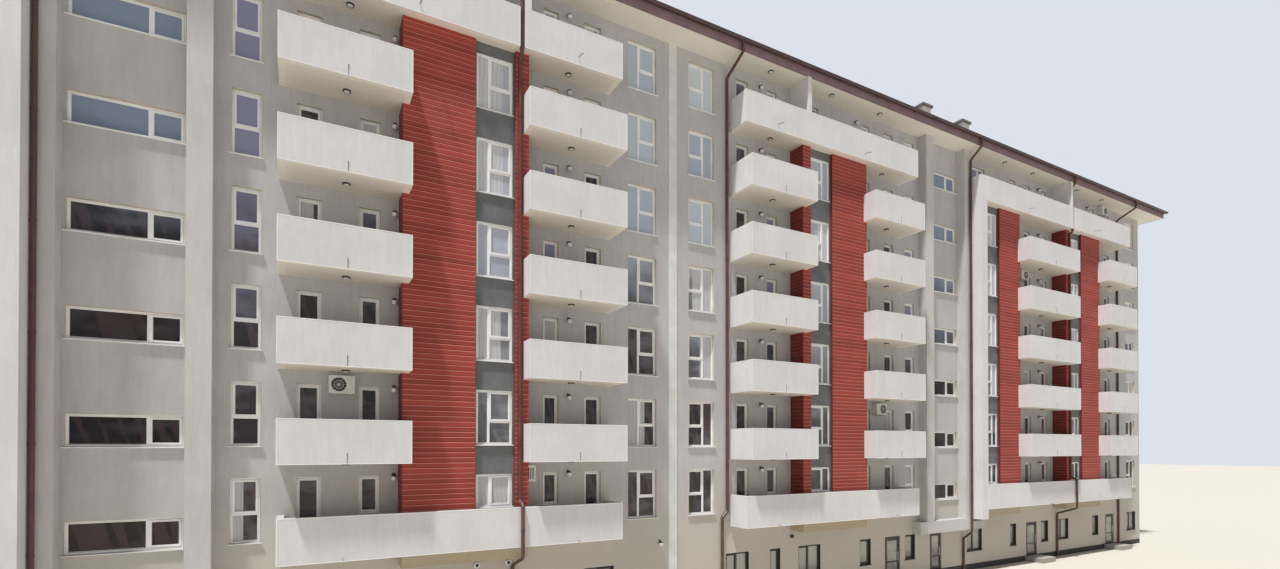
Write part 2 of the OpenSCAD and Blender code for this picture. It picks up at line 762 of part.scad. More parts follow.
// How far the downpipes' middles stand out of the wall, the bays, the pilasters and the parapets
wall_pipe = pipe_gap + pipe_r;
bay_pipe = bay_out + pipe_gap + pipe_r;
frame_pipe = canopy_out + pipe_gap + pipe_r;
slot_pipe = long_out - parapet_t / 2;
front_pipe = long_out + pipe_gap + pipe_r;
gutter_pipe = eaves_out + gutter_r;
neck_z = soffit_z - neck_top;

// An upright run of a downpipe
module run(u, out, z0, z1) {
    translate([u, -out, z0]) cylinder(r = pipe_r, h = z1 - z0, $fn = 24);
}

// The direction of a vector, and that direction turned left
function way(v) = v / norm(v);
function left(v) = [-v[1], v[0]];

// The two ends of the mitred elbow that rounds the corner q on the way from p to r
function corner(p, q, r) =
    let (a = way(q - p), b = way(r - q), back = bend_r * tan(acos(a * b) / 2)) [q - a * back, q + b * back];

// A route through points with an elbow at each corner
function route(points) = concat([points[0]],
    [for (k = [1 : len(points) - 2]) each corner(points[k - 1], points[k], points[k + 1])],
    [points[len(points) - 1]]);

// A bent stretch of a downpipe: a circle swept along points, each its distance out and its height
module bend(u, points, sides = 16) {
    path = route(points);
    last = len(path) - 1;
    ways = [for (k = [0 : last])
        way(way(path[min(k + 1, last)] - path[min(k, last - 1)]) + way(path[max(k, 1)] - path[max(k - 1, 0)]))];
    rings = [for (k = [0 : last], j = [0 : sides - 1]) let (a = 360 * j / sides, n = left(ways[k]))
        [u + pipe_r * cos(a), -path[k][0] - pipe_r * n[0] * sin(a), path[k][1] + pipe_r * n[1] * sin(a)]];
    walls = [for (k = [0 : last - 1], j = [0 : sides - 1]) let (next = (j + 1) % sides)
        [(k + 1) * sides + j, (k + 1) * sides + next, k * sides + next, k * sides + j]];
    start = [for (j = [0 : sides - 1]) j];
    end = [for (j = [sides - 1 : -1 : 0]) last * sides + j];
    polyhedron(points = rings, faces = concat([start], walls, [end]));
}

// The swan neck from the gutter to a downpipe that stands the given distance out
module neck(u, out, drop) {
    bend(u, [[gutter_pipe, gutter_z - gutter_r], [gutter_pipe, neck_z], [out, neck_z - drop],
        [out, neck_z - drop - pipe_turn]]);
}

// Places of the downpipes, and levels of their bends
first_pipe_u = short_1 - pipe_r - first_pipe_side;
frame_pipe_u = frame_0 - pipe_r - pipe_gap;
end_pipe_u = shorts[3][1] + end_pipe_side;
neck_end = neck_z - neck_drop - pipe_turn;
jog_turn = floor_z(0) + first_jog_up;
slot_drop = gutter_pipe - slot_pipe;
step_in = slot_pipe - bay_pipe;
top_turn = floor_z(top) - long_drop - pipe_turn;
over_turn = floor_z(0) + parapet_up + pipe_turn;
under_turn = bay_bottom_z + pipe_r;
canopy_turn = canopy_bottom_z - pipe_turn;

// The upright runs of a downpipe beside a bay: in the highest parapet's gap, along the bay, in front of
// the lowest parapet and on the wall of the ground storey
module bay_runs(u) {
    run(u, slot_pipe, top_turn + pipe_turn, neck_z - slot_drop - pipe_turn);
    run(u, bay_pipe, over_turn + pipe_turn, top_turn - pipe_turn - step_in);
    run(u, front_pipe, under_turn + pipe_turn, over_turn - pipe_turn);
    run(u, wall_pipe, pipe_r, under_turn - under_drop - pipe_turn);
}

module downpipes() {
    color("saddlebrown") {
        translate([0, front_y, 0]) {
            run(first_pipe_u, wall_pipe, jog_turn + pipe_turn, neck_end);
            run(first_pipe_u - first_pipe_jog, wall_pipe, pipe_r, jog_turn - first_pipe_jog - pipe_turn);
        }
        left_front() bay_runs(bay_pipe_u(bays[0]));
        all_halves() {
            bay_runs(bay_pipe_u(bays[2]));
            run(frame_pipe_u, frame_pipe, canopy_turn + pipe_turn, neck_end);
            run(frame_pipe_u, wall_pipe, pipe_r, canopy_turn - under_drop - pipe_turn);
            run(end_pipe_u, wall_pipe, pipe_r, neck_end);
        }
    }
}

// The bends of a downpipe beside a bay
module bay_bends(u) {
    neck(u, slot_pipe, slot_drop);
    bend(u, [[slot_pipe, top_turn + pipe_turn], [slot_pipe, top_turn], [bay_pipe, top_turn - step_in],
        [bay_pipe, top_turn - step_in - pipe_turn]]);
    bend(u, [[bay_pipe, over_turn + pipe_turn], [bay_pipe, over_turn], [front_pipe, over_turn],
        [front_pipe, over_turn - pipe_turn]]);
    bend(u, [[front_pipe, under_turn + pipe_turn], [front_pipe, under_turn], [wall_pipe, under_turn - under_drop],
        [wall_pipe, under_turn - under_drop - pipe_turn]]);
}

module pipe_bends() {
    color("saddlebrown") {
        translate([0, front_y, 0]) neck(first_pipe_u, wall_pipe, neck_drop);
        translate([first_pipe_u, front_y - wall_pipe, 0]) rotate([0, 0, -90])
            bend(0, [[0, jog_turn + pipe_turn], [0, jog_turn], [first_pipe_jog, jog_turn - first_pipe_jog],
                [first_pipe_jog, jog_turn - first_pipe_jog - pipe_turn]]);
        left_front() bay_bends(bay_pipe_u(bays[0]));
        all_halves() {
            bay_bends(bay_pipe_u(bays[2]));
            neck(frame_pipe_u, frame_pipe, neck_drop);
            bend(frame_pipe_u, [[frame_pipe, canopy_turn + pipe_turn], [frame_pipe, canopy_turn],
                [wall_pipe, canopy_turn - under_drop], [wall_pipe, canopy_turn - under_drop - pipe_turn]]);
            neck(end_pipe_u, wall_pipe, neck_drop);
        }
    }
}

// An outdoor unit on the wall of a storey
module unit(u, i) {
    block(u, u + unit_w, 0, unit_d, floor_z(i) + unit_up, floor_z(i) + unit_up + unit_h);
}

module air_conditioners() {
    color("white") {
        translate([0, front_y, 0]) {
            unit(bay_end(bays[0]) + first_unit_side, 1);
            unit(bay_end(bays[1]) + second_unit_side, 4);
            unit(bay_end(bays[2]) + top_unit_side, top);
        }
        left_front() {
            unit(bay_end(bays[0]) + first_unit_side, 1);
            block(bay_1 - unit_d, bay_1, cheek_unit_in, cheek_unit_in + unit_w - pipe_r, floor_z(0) + unit_up,
                floor_z(0) + unit_up + unit_h);
        }
    }
}

module landings() {
    color("lightgray") front_halves() for (d = doorways)
        block(d[0] - landing_side, d[0] + d[1] + landing_side, 0, landing_l, 0, ground_floor_z - landing_step);
}

// A door frame in its doorway, open at the floor
module door_frame(d) {
    wall_plate(d[0], d[0] + d[1], ground_floor_z, ground_head_z, door_frame_d, -door_back)
        translate([d[0] + door_frame_w, ground_floor_z - 1])
            square([d[1] - 2 * door_frame_w, ground_head_z - door_frame_w - ground_floor_z + 1]);
}

// One half of a door's hinges: knuckles on plates, from the hinge's middle by the given heights
module hinge_halves(d, side, z0, z1) {
    u = d[0] + door_frame_w + leaf_gap / 2;
    low = ground_floor_z + leaf_gap + hinge_end;
    high = ground_head_z - door_frame_w - leaf_gap - hinge_end;
    for (z = [low, (low + high) / 2, high]) {
        translate([u, door_back - hinge_r, z + z0]) cylinder(r = hinge_r, h = z1 - z0, $fn = 24);
        block(u - (side < 0 ? hinge_plate_w : 0), u + (side < 0 ? 0 : hinge_plate_w), -door_back,
            hinge_plate_t - door_back, z + z0, z + z1);
    }
}

module door_frames() {
    color("dimgray") front_halves() for (d = doorways) {
        door_frame(d);
        hinge_halves(d, -1, -hinge_h, 0);
    }
}

// A door leaf in its frame, with its outer face flush with the frame
module leaf(d) {
    block(d[0] + door_frame_w + leaf_gap, d[0] + d[1] - door_frame_w - leaf_gap, -door_back - leaf_t,
        -door_back, ground_floor_z + leaf_gap, ground_head_z - door_frame_w - leaf_gap);
    hinge_halves(d, 1, hinge_play, hinge_h);
}

module fixed_doors() {
    color("gray") left_front() for (d = doorways) leaf(d);
}

module front_leaf(d) {
    color("steelblue") translate([0, front_y, 0]) leaf(d);
}

module shop_door() {
    front_leaf(shop_doorway);
}

module stair_door() {
    front_leaf(stair_doorway);
}

module wing_door() {
    front_leaf(wing_doorway);
}

module end_door() {
    front_leaf(end_doorway);
}

plinth();
floor_slabs();
bay_floors();
bay_bases();
roof_slab();
grey_walls();
top_walls();
stair_walls();
gable_walls();
ground_walls();
door_lintels();
joint_covers();
pilasters();
white_frames();
entrance_canopies();
red_walls();
bay_strips();
bay_cheeks();
balcony_slabs();
long_ledges();
parapet_fronts();
parapet_returns();
balcony_dividers();
room_panes();
balcony_door_panes();
bay_panes();
stair_panes();
ground_panes();
long_fascias();
end_fascias();
long_gutters();
end_gutters();
roof();
chimneys();
chimney_caps();
downpipes();
pipe_bends();
air_conditioners();
landings();
door_frames();
fixed_doors();
shop_door();
stair_door();
wing_door();
end_door();
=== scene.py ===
# %% [markdown]
# # An apartment block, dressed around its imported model
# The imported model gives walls, slabs, parapets, panes, roof and doors as plain solids, at half of
# the real size. This notebook adds what such a building wears: window frames and sills, red boards,
# lamps, spouts, pipe clips, roof seams and door glazing, and it gives every surface a material.
# Nearly every new piece takes its place from the solids that it sits on, so it fits by itself. Some
# lamps and spouts have places of their own, which are named values that come from the photograph.

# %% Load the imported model
import json
import math

import bpy
import numpy as np
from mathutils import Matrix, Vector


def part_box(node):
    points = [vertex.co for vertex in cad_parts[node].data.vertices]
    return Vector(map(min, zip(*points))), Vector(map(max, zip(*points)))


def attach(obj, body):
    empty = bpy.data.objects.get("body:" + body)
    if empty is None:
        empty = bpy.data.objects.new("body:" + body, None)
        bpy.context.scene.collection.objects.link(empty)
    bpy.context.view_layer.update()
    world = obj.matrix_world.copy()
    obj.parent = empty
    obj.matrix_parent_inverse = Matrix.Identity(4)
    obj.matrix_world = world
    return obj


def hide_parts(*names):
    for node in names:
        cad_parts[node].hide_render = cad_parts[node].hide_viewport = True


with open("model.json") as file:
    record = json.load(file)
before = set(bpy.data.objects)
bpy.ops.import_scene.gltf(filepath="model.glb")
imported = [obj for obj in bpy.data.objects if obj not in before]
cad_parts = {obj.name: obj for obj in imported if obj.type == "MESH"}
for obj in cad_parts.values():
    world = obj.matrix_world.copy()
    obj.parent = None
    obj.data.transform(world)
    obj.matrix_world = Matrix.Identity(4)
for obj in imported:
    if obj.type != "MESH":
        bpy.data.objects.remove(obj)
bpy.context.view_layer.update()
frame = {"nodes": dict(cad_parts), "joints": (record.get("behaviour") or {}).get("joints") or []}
front_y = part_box("ground_walls")[0].y
half_depth = -front_y
half_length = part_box("gable_walls")[1].x
print("nodes", len(frame["nodes"]), "half length", round(half_length, 3), "half depth", round(half_depth, 3))

# %% [markdown]
# Many nodes hold dozens of like boxes, such as all panes of one kind of window. To dress them one by
# one, the loose solids of a node are told apart: vertices at the same place get one number, and each
# triangle spreads the lowest number of its corners until nothing changes. What shares a number is
# one solid, and the box around it is all that the dressing needs.


# %% Boxes around the loose solids of a node
def solids(node):
    """The boxes around a node's loose solids, one row each: lowest x, y, z, then highest x, y, z."""
    mesh = frame["nodes"][node].data
    mesh.calc_loop_triangles()
    points = np.empty(len(mesh.vertices) * 3, np.float32)
    mesh.vertices.foreach_get("co", points)
    corners = np.empty(len(mesh.loop_triangles) * 3, np.int32)
    mesh.loop_triangles.foreach_get("vertices", corners)
    places, same = np.unique(np.round(points.reshape(-1, 3), 4), axis=0, return_inverse=True)
    triangles = same.reshape(-1)[corners].reshape(-1, 3)
    number = np.arange(len(places))
    while True:
        lowest = number[triangles].min(axis=1)
        spread = number.copy()
        np.minimum.at(spread, triangles.reshape(-1), np.repeat(lowest, 3))
        if (spread == number).all():
            break
        number = spread
    _, start = np.unique(np.sort(number), return_index=True)
    rows = places[np.argsort(number, kind="stable")]
    return np.hstack([np.minimum.reduceat(rows, start), np.maximum.reduceat(rows, start)])


print("room windows", len(solids("room_panes")), "balcony doors", len(solids("balcony_door_panes")))

# %% [markdown]
# Both halves mirror each other, and the rear repeats the front. So the dressing is worked out in
# facade coordinates: u along the wall from the joint outwards, out square to the wall, and z up. A
# quarter of the building is named by two signs, one for its half and one for front or rear.


# %% Facade coordinates
class Spots:
    """Boxes in facade coordinates: u0, u1, out0, out1, z0, z1 and the signs of their quarter."""

    def __init__(self, boxes):
        self.boxes = boxes
        x, y = np.abs(boxes[:, [0, 3]]), np.abs(boxes[:, [1, 4]]) - half_depth
        self.u0, self.u1 = x.min(axis=1), x.max(axis=1)
        self.out0, self.out1 = y.min(axis=1), y.max(axis=1)
        self.z0, self.z1 = boxes[:, 2], boxes[:, 5]
        self.width, self.height = self.u1 - self.u0, self.z1 - self.z0
        self.middle_u, self.middle_out = (self.u0 + self.u1) / 2, (self.out0 + self.out1) / 2
        self.side_x = np.sign(boxes[:, 0] + boxes[:, 3])
        self.side_y = np.sign(boxes[:, 1] + boxes[:, 4])

    def pick(self, which):
        """The boxes that a mask or an array of indices names."""
        return Spots(self.boxes[which])

    def across(self, share):
        """The u that lies at a share of each box's width."""
        return self.u0 + share * self.width

    def __len__(self):
        return len(self.u0)


QUARTERS = [(sx, sy) for sx in (-1, 1) for sy in (-1, 1)]
LEFT_FRONT, RIGHT_FRONT = [(-1, -1)], [(1, -1)]


def marks(places, quarters):
    """Spots of no size at (u, out, z) places of some quarters, and the same places as centres."""
    corner = [[sx * u, sy * (half_depth + out), z] for sx, sy in quarters for u, out, z in places]
    return Spots(np.hstack([corner, corner])), np.tile(np.array(places, float), (len(quarters), 1))


# %% [markdown]
# Three forms make nearly everything: a block between two corners, a frame whose profile runs round a
# rectangle, and a lathe turned about an axis. Blender's own cubes and rings could be placed one by
# one, but there are thousands, so each form is worked out as whole arrays for all its copies.

# %% Blocks, frames and lathes
BLOCK_FACES = np.array([[0, 1, 3, 2], [4, 6, 7, 5], [0, 4, 5, 1], [2, 3, 7, 6], [0, 2, 6, 4], [1, 5, 7, 3]])
OUTWARDS, UPWARDS = [1, 2, 0], [0, 1, 2]
TUBE_SIDES, GLOBE_SIDES, CLIP_SIDES, LAMP_SIDES, FAN_SIDES = 12, 14, 16, 20, 32


def block(u0, u1, out0, out1, z0, z1, drop=0.0):
    """The eight corners of each block between its edges; drop lowers the outer edge of its top."""
    u0, u1, out0, out1, z0, z1, drop = np.broadcast_arrays(
        *[np.atleast_1d(np.asarray(v, float)) for v in (u0, u1, out0, out1, z0, z1, drop)])
    corners = [(a, b, c) for a in (u0, u1) for b in (0, 1) for c in (0, 1)]
    return np.stack([np.stack([a, out1 if b else out0, (z1 - drop * b) if c else z0], axis=-1)
                     for a, b, c in corners], axis=1)


def frame_ring(u0, u1, z0, z1, out, profile):
    """A profile of (inset, depth) points carried round a rectangle: each point lies inwards of the
    rectangle's corner by its inset, and at out plus its depth."""
    inset, depth = np.array(profile).T
    u0, u1, z0, z1, out = [np.atleast_1d(np.asarray(v, float))[:, None] for v in (u0, u1, z0, z1, out)]
    left, right, low, high = u0 + inset, u1 - inset, z0 + inset, z1 - inset
    corners = [np.stack(np.broadcast_arrays(u, out + depth, z), axis=-1)
               for u, z in ((left, low), (right, low), (right, high), (left, high))]
    corner, point = np.meshgrid(np.arange(4), np.arange(len(profile)), indexing="ij")
    here, there = corner * len(profile), (corner + 1) % 4 * len(profile)
    onward = (point + 1) % len(profile)
    faces = np.stack([here + point, there + point, there + onward, here + onward], axis=-1)
    return np.concatenate(corners, axis=1), faces.reshape(-1, 4)


def lathe(centres, profile, order, sides):
    """A profile of (radius, height) points turned about an axis: radius times cosine and sine of the
    angle, then the height. The order says which of the three becomes u, out and z, and the profile
    runs from the axis's start to its end."""
    radius, height = np.array(profile).T
    angle = np.linspace(0, 2 * np.pi, sides, endpoint=False)
    grid = np.stack([np.outer(radius, np.cos(angle)), np.outer(radius, np.sin(angle)),
                     np.outer(height, np.ones(sides))], axis=-1).reshape(-1, 3)[:, order]
    row, side = np.meshgrid(np.arange(len(profile) - 1) * sides, np.arange(sides), indexing="ij")
    onward = (side + 1) % sides
    faces = np.stack([row + side, row + onward, row + sides + onward, row + sides + side], axis=-1)
    return np.asarray(centres)[:, None, :] + grid[None], faces.reshape(-1, 4)


def rod(radius, start, end):
    """A lathe's profile for a round bar or disc."""
    return [(0.0, start), (radius, start), (radius, end), (0.0, end)]


def band(inner, outer, start, end):
    """A lathe's profile for a ring of rectangular section."""
    return [(inner, start), (outer, start), (outer, end), (inner, end), (inner, start)]


# %% [markdown]
# A shape gathers the forms that one piece consists of. In a mirrored quarter their faces would point
# inwards, so there the corners of each face are taken the other way round. Each vertex carries a
# chance, which tells boards and windows apart, and two light coordinates, because a material can
# read such numbers but can't find out by itself which board it is on.


# %% Shapes that grow into pieces
def placed(name, data):
    """A new object of the scene for a mesh, a light or a camera."""
    made = bpy.data.objects.new(name, data)
    bpy.context.scene.collection.objects.link(made)
    return made


class Shape:
    """A growing mesh of four-cornered faces, with a chance and two light coordinates a vertex."""

    def __init__(self):
        self.points, self.faces, self.chance, self.light = [], [], [], []
        self.count = 0

    def add(self, points, faces, spots=None, chance=None, light=None):
        """Takes n copies of one form: points (n, k, 3) and faces (m, 4) of one copy. Where spots are
        given the points are facade coordinates, and a mirrored quarter has its faces turned over."""
        n, k = points.shape[:2]
        copies = np.broadcast_to(faces, (n,) + faces.shape).copy()
        if spots is not None:
            turned = spots.side_x * spots.side_y < 0
            copies[turned] = copies[turned][:, :, ::-1]
            points = np.stack([points[..., 0] * spots.side_x[:, None],
                               (points[..., 1] + half_depth) * spots.side_y[:, None],
                               points[..., 2]], axis=-1)
        copies += self.count + k * np.arange(n)[:, None, None]
        self.points.append(points.reshape(-1, 3))
        self.faces.append(copies.reshape(-1, 4))
        self.chance.append(np.repeat(np.zeros(n) if chance is None else chance, k))
        self.light.append(np.zeros((n * k, 2)) if light is None else light.reshape(-1, 2))
        self.count += n * k

    def blocks(self, spots, *edges, drop=0.0, **numbers):
        """A block at each spot; numbers may hold the chance and the light."""
        self.add(block(*edges, drop=drop), BLOCK_FACES, spots, **numbers)

    def rings(self, spots, *edges_and_profile):
        """A frame at each spot."""
        self.add(*frame_ring(*edges_and_profile), spots)

    def lathes(self, spots, centres, profile, order, sides):
        """A lathe at each centre."""
        self.add(*lathe(centres, profile, order, sides), spots)

    def pane(self, spots, chance, *edges):
        """A block of glass whose light coordinates run from 0 to 1 across and up its opening."""
        glass = block(*edges)
        across = (glass[..., 0] - spots.u0[:, None]) / spots.width[:, None]
        up = (glass[..., 2] - spots.z0[:, None]) / spots.height[:, None]
        self.add(glass, BLOCK_FACES, spots, chance, np.stack([across, up], axis=-1))

    def piece(self, name, material, slot, body="building", smooth=False):
        """Makes the mesh object, gives it its material, and lets it ride on its body; the slot is not used.
        """
        mesh = bpy.data.meshes.new(name)
        points, faces = np.vstack(self.points), np.vstack(self.faces)
        mesh.from_pydata(points.tolist(), [], faces.tolist())
        mesh.attributes.new("chance", "FLOAT", "POINT").data.foreach_set("value", np.concatenate(self.chance))
        light = np.vstack(self.light)[faces.reshape(-1)]
        mesh.uv_layers.new(name="light").data.foreach_set("uv", light.reshape(-1))
        if smooth:
            mesh.polygons.foreach_set("use_smooth", np.ones(len(faces), bool))
        mesh.materials.append(material)
        piece = placed(name, mesh)
        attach(piece, body)
        print(name, "faces", len(faces))
        return piece


# %% [markdown]
# Materials are sums and products of noises. Writing them as node links by hand is long, so one small
# class wraps a socket and lets Python's own arithmetic add the Math nodes.


# %% Shader arithmetic
class Link:
    """One output of a node tree, with arithmetic."""

    def __init__(self, tree, socket):
        self.tree, self.socket = tree, socket

    def math(self, operation, *values):
        return self.tree.node("ShaderNodeMath", {"operation": operation}, dict(enumerate(values)))

    def __add__(self, other):
        return self.math("ADD", self, other)

    def __sub__(self, other):
        return self.math("SUBTRACT", self, other)

    def __rsub__(self, other):
        return self.math("SUBTRACT", other, self)

    def __mul__(self, other):
        return self.math("MULTIPLY", self, other)

    def __truediv__(self, other):
        return self.math("DIVIDE", self, other)

    __radd__, __rmul__ = __add__, __mul__

    def smooth(self, low, high):
        """0 below low, 1 above high, and an even curve between."""
        return self.tree.node("ShaderNodeMapRange", {"interpolation_type": "SMOOTHSTEP"},
                              {0: self, 1: low, 2: high})

    def above(self, value):
        return self.math("GREATER_THAN", self, value)

    def floor(self):
        return self.math("FLOOR", self)

    def fract(self):
        return self.math("FRACT", self)

    def sine(self):
        return self.math("SINE", self)

    def size(self):
        """The number without its sign."""
        return self.math("ABSOLUTE", self)


# %% [markdown]
# Any other node comes from one method that takes its type, its settings and what goes into its
# sockets. Colours go through a Mix node, because a Math node would turn them grey. They are written
# as read off a screen, 0 to 255, and made linear on the way in, as a shader takes them.


# %% Node trees of materials
def linear(colour):
    """The share of 255, over 1.055 after adding 0.055, to the power 2.4; near black, over 12.92."""
    c = np.array(colour) / 255
    return tuple(float(v) for v in np.where(c <= 0.04045, c / 12.92, ((c + 0.055) / 1.055) ** 2.4))


class Nodes:
    """A node tree, with one method for any node."""

    def __init__(self, tree):
        self.tree = tree

    def node(self, kind, settings, inputs, output=0):
        made = self.tree.nodes.new(kind)
        for key, value in settings.items():
            setattr(made, key, value)
        for key, value in inputs.items():
            if isinstance(value, Link):
                self.tree.links.new(value.socket, made.inputs[key])
            else:
                made.inputs[key].default_value = value
        return Link(self, made.outputs[output])


class Tree(Nodes):
    """The node tree of a new material, whose shader takes the given values."""

    def __init__(self, name, **values):
        self.material = bpy.data.materials.new(name)
        self.material.use_nodes = True
        super().__init__(self.material.node_tree)
        self.shader = self.tree.nodes["Principled BSDF"]
        for key, value in values.items():
            self.shader.inputs[key.replace("_", " ")].default_value = value

    def place(self):
        """The point on the piece, in metres."""
        return self.node("ShaderNodeTexCoord", {}, {}, "Object")

    def parts(self, vector):
        split = self.tree.nodes.new("ShaderNodeSeparateXYZ")
        self.tree.links.new(vector.socket, split.inputs[0])
        return [Link(self, out) for out in split.outputs]

    def join(self, x, y, z):
        return self.node("ShaderNodeCombineXYZ", {}, {0: x, 1: y, 2: z})

    def facing_up(self):
        """The upward part of the surface's own direction: 1 facing the sky, -1 facing the ground."""
        return self.parts(self.node("ShaderNodeNewGeometry", {}, {}, "Normal"))[2]

    def carried(self):
        """What the vertices carry: the chance, and the light coordinates across and up."""
        chance = self.node("ShaderNodeAttribute", {"attribute_name": "chance"}, {}, "Fac")
        across, up, _ = self.parts(self.node("ShaderNodeUVMap", {"uv_map": "light"}, {}))
        return chance, across, up

    def noise(self, vector, scale, detail=3.0, roughness=0.5):
        return self.node("ShaderNodeTexNoise", {}, {"Vector": vector, "Scale": scale, "Detail": detail,
                                                    "Roughness": roughness})

    def mix(self, factor, a, b):
        """Colour a where the factor is 0 and b where it is 1."""
        a, b = [v if isinstance(v, Link) else (*linear(v), 1.0) for v in (a, b)]
        return self.node("ShaderNodeMix", {"data_type": "RGBA"}, {0: factor, 6: a, 7: b}, 2)

    def finish(self, colour, roughness=None, height=None, distance=0.004, strength=0.6, alpha=None):
        """Links the colour, and where given the roughness, the bump's height and the alpha."""
        self.tree.links.new(colour.socket, self.shader.inputs["Base Color"])
        if roughness is not None:
            self.tree.links.new(roughness.socket, self.shader.inputs["Roughness"])
        if height is not None:
            bump = self.node("ShaderNodeBump", {}, {"Height": height, "Distance": distance,
                                                  "Strength": strength})
            self.tree.links.new(bump.socket, self.shader.inputs["Normal"])
        if alpha is not None:
            self.tree.links.new(alpha.socket, self.shader.inputs["Alpha"])
        return self.material


# %% [markdown]
# Rendered walls of such blocks carry a floated mineral plaster: a fine grain, soft clouds from uneven
# drying, and faint dirt that rain draws down the wall. The grain goes into the bump, the clouds and
# the streaks into the colour. The streaks are a noise that is stretched along z.


# %% Plaster
TILE, JOINT = 0.15, 0.03
# The foot shade begins 3.6 m up, is full at 0.9 m and takes at most that share: a painted warm bounce light
# from the ground.
FOOT_FROM, FOOT_FULL, FOOT_SHARE = 3.6, 0.9, 0.8


def tile_joints(x, y):
    """0 where the fraction of x or y over the tile's side is near 0, and 1 on the tiles."""
    return (x / TILE).fract().above(JOINT) * (y / TILE).fract().above(JOINT)


def plaster(name, pale, dark, grain=0.0015, streak=0.35, underside=None, top=None, foot=None,
            paved=None):
    """Plaster of two shades. Underside, top and foot are the shades of those parts, where given: the
    underside's is cream and a painted bounce light, the top's, where it is not paved, dust and a painted
    shade, and the foot's a painted warm bounce light from the ground; paved gives the shades of a top's tiles
    and joints."""
    tree = Tree(name, Roughness=0.9)
    place = tree.place()
    x, y, z = tree.parts(place)
    clouds = tree.noise(place, 0.9, 5, 0.6)
    streaks = tree.noise(tree.join(x * 5.0, y * 5.0, z * 0.35), 1.0, 4, 0.6)
    strokes = tree.noise(tree.join(x * 16.0, y * 16.0, z * 3.0), 1.0, 3, 0.6)
    fine = tree.noise(place, 90.0, 2)
    dirt = (clouds * 0.6 + streaks * streak + strokes * 0.4 + fine * 0.18).smooth(0.45, 1.05)
    colour = tree.mix(dirt, dark, pale)
    # Low on the wall the plaster turns to the foot shade, a painted warm bounce light from the ground.
    if foot is not None:
        colour = tree.mix(z.smooth(FOOT_FROM, FOOT_FULL) * FOOT_SHARE, colour, foot)
    # Downward faces take the underside shade: cream, and a painted bounce light that makes them lighter and
    # warmer than the plaster.
    if underside is not None:
        colour = tree.mix(tree.facing_up().smooth(-0.5, -0.9), colour, underside)
    if paved is not None:
        top = tree.mix(tile_joints(x, y), paved[1], tree.mix(dirt, paved[1], paved[0]))
    # Faces towards the sky take the top shade: the tiles where paved, and otherwise dust and a painted shade
    # that keeps sunlit tops from glaring.
    if top is not None:
        colour = tree.mix(tree.facing_up().smooth(0.2, 0.7), colour, top)
    return tree.finish(colour, height=tree.noise(place, 160.0, 2), distance=grain, strength=0.5)


# The underside shade is cream and a painted bounce light from the ground; the top shade is dust and a painted
# shade.
UNDERSIDE_CREAM_AND_BOUNCE, DUST_AND_TOP_SHADE = (246, 239, 227), (170, 168, 165)
# Its foot shade is a painted warm bounce light low on the walls.
grey_plaster = plaster("grey_plaster", (198, 197, 197), (176, 175, 175), foot=(193, 184, 170))
# The tops of these plasters take dust and a painted shade.
light_plaster = plaster("light_plaster", (208, 205, 203), (188, 185, 181), top=DUST_AND_TOP_SHADE)
white_plaster = plaster("white_plaster", (229, 228, 227), (210, 209, 208), streak=0.25,
                        underside=UNDERSIDE_CREAM_AND_BOUNCE, top=DUST_AND_TOP_SHADE)
cream_plaster = plaster("cream_plaster", (248, 242, 232), (234, 227, 214), streak=0.1,
                        paved=((132, 98, 74), (104, 76, 58)))
# A darker, warmer copy of the cream plaster for the bases under the bays: a painted warm shade.
base_plaster = plaster("base_plaster", (194, 180, 158), (176, 161, 138), streak=0.1)
dark_plinth = plaster("dark_plinth", (74, 73, 78), (50, 49, 55), grain=0.004)
print("plasters made")

# %% [markdown]
# The red boards are painted fibre cement with a printed wood grain. Every board has its own shade,
# which comes from the chance that the board's vertices carry, and its grain runs along the board.
# The upper edge gets a pale painted highlight, as if the high sun caught it, and the edge is found by the
# light coordinates: 1 at the top.


# %% Painted boards
def painted_boards(name, pale, dark, edge):
    """Boards of two shades, with a painted highlight along the upper edge in a third."""
    tree = Tree(name, Roughness=0.62)
    place = tree.place()
    x, y, z = tree.parts(place)
    own, _, up = tree.carried()
    grain = tree.noise(tree.join(x * 3.0, y * 3.0 + own * 7.0, z * 60.0), 1.0, 4, 0.65)
    wear_and_highlight = tree.noise(place, 1.4, 3)
    shade = (grain * 0.55 + own * 0.3 + wear_and_highlight * 0.4).smooth(0.1, 1.1)
    # A painted highlight along the upper edge, where the high sun would catch it; a noise varies its
    # strength.
    edge_highlight = up.smooth(0.84, 0.88) * (wear_and_highlight * 0.6 + 0.45)
    colour = tree.mix(edge_highlight, tree.mix(shade, dark, pale), edge)
    return tree.finish(colour, height=grain, distance=0.002, strength=0.4)


# The third shade is the pale painted highlight of the boards' upper edges.
red_boards = painted_boards("red_boards", (174, 67, 55), (122, 43, 36), (222, 138, 120))
# A darker copy of the red boards' paint for the bays' cheeks: a painted shade.
cheek_boards = painted_boards("cheek_boards", (138, 50, 43), (98, 34, 31), (176, 96, 86))
red_wall = plaster("red_wall", (120, 42, 35), (100, 34, 28))
dark_red = plaster("dark_red", (118, 44, 36), (96, 32, 27))
print("boards made")

# %% [markdown]
# Metal and plastic trim is plain at a distance, but never one flat colour: a little dust lies on it,
# and its gloss varies. One recipe with two shades and a roughness serves frames, gutters and pipes.


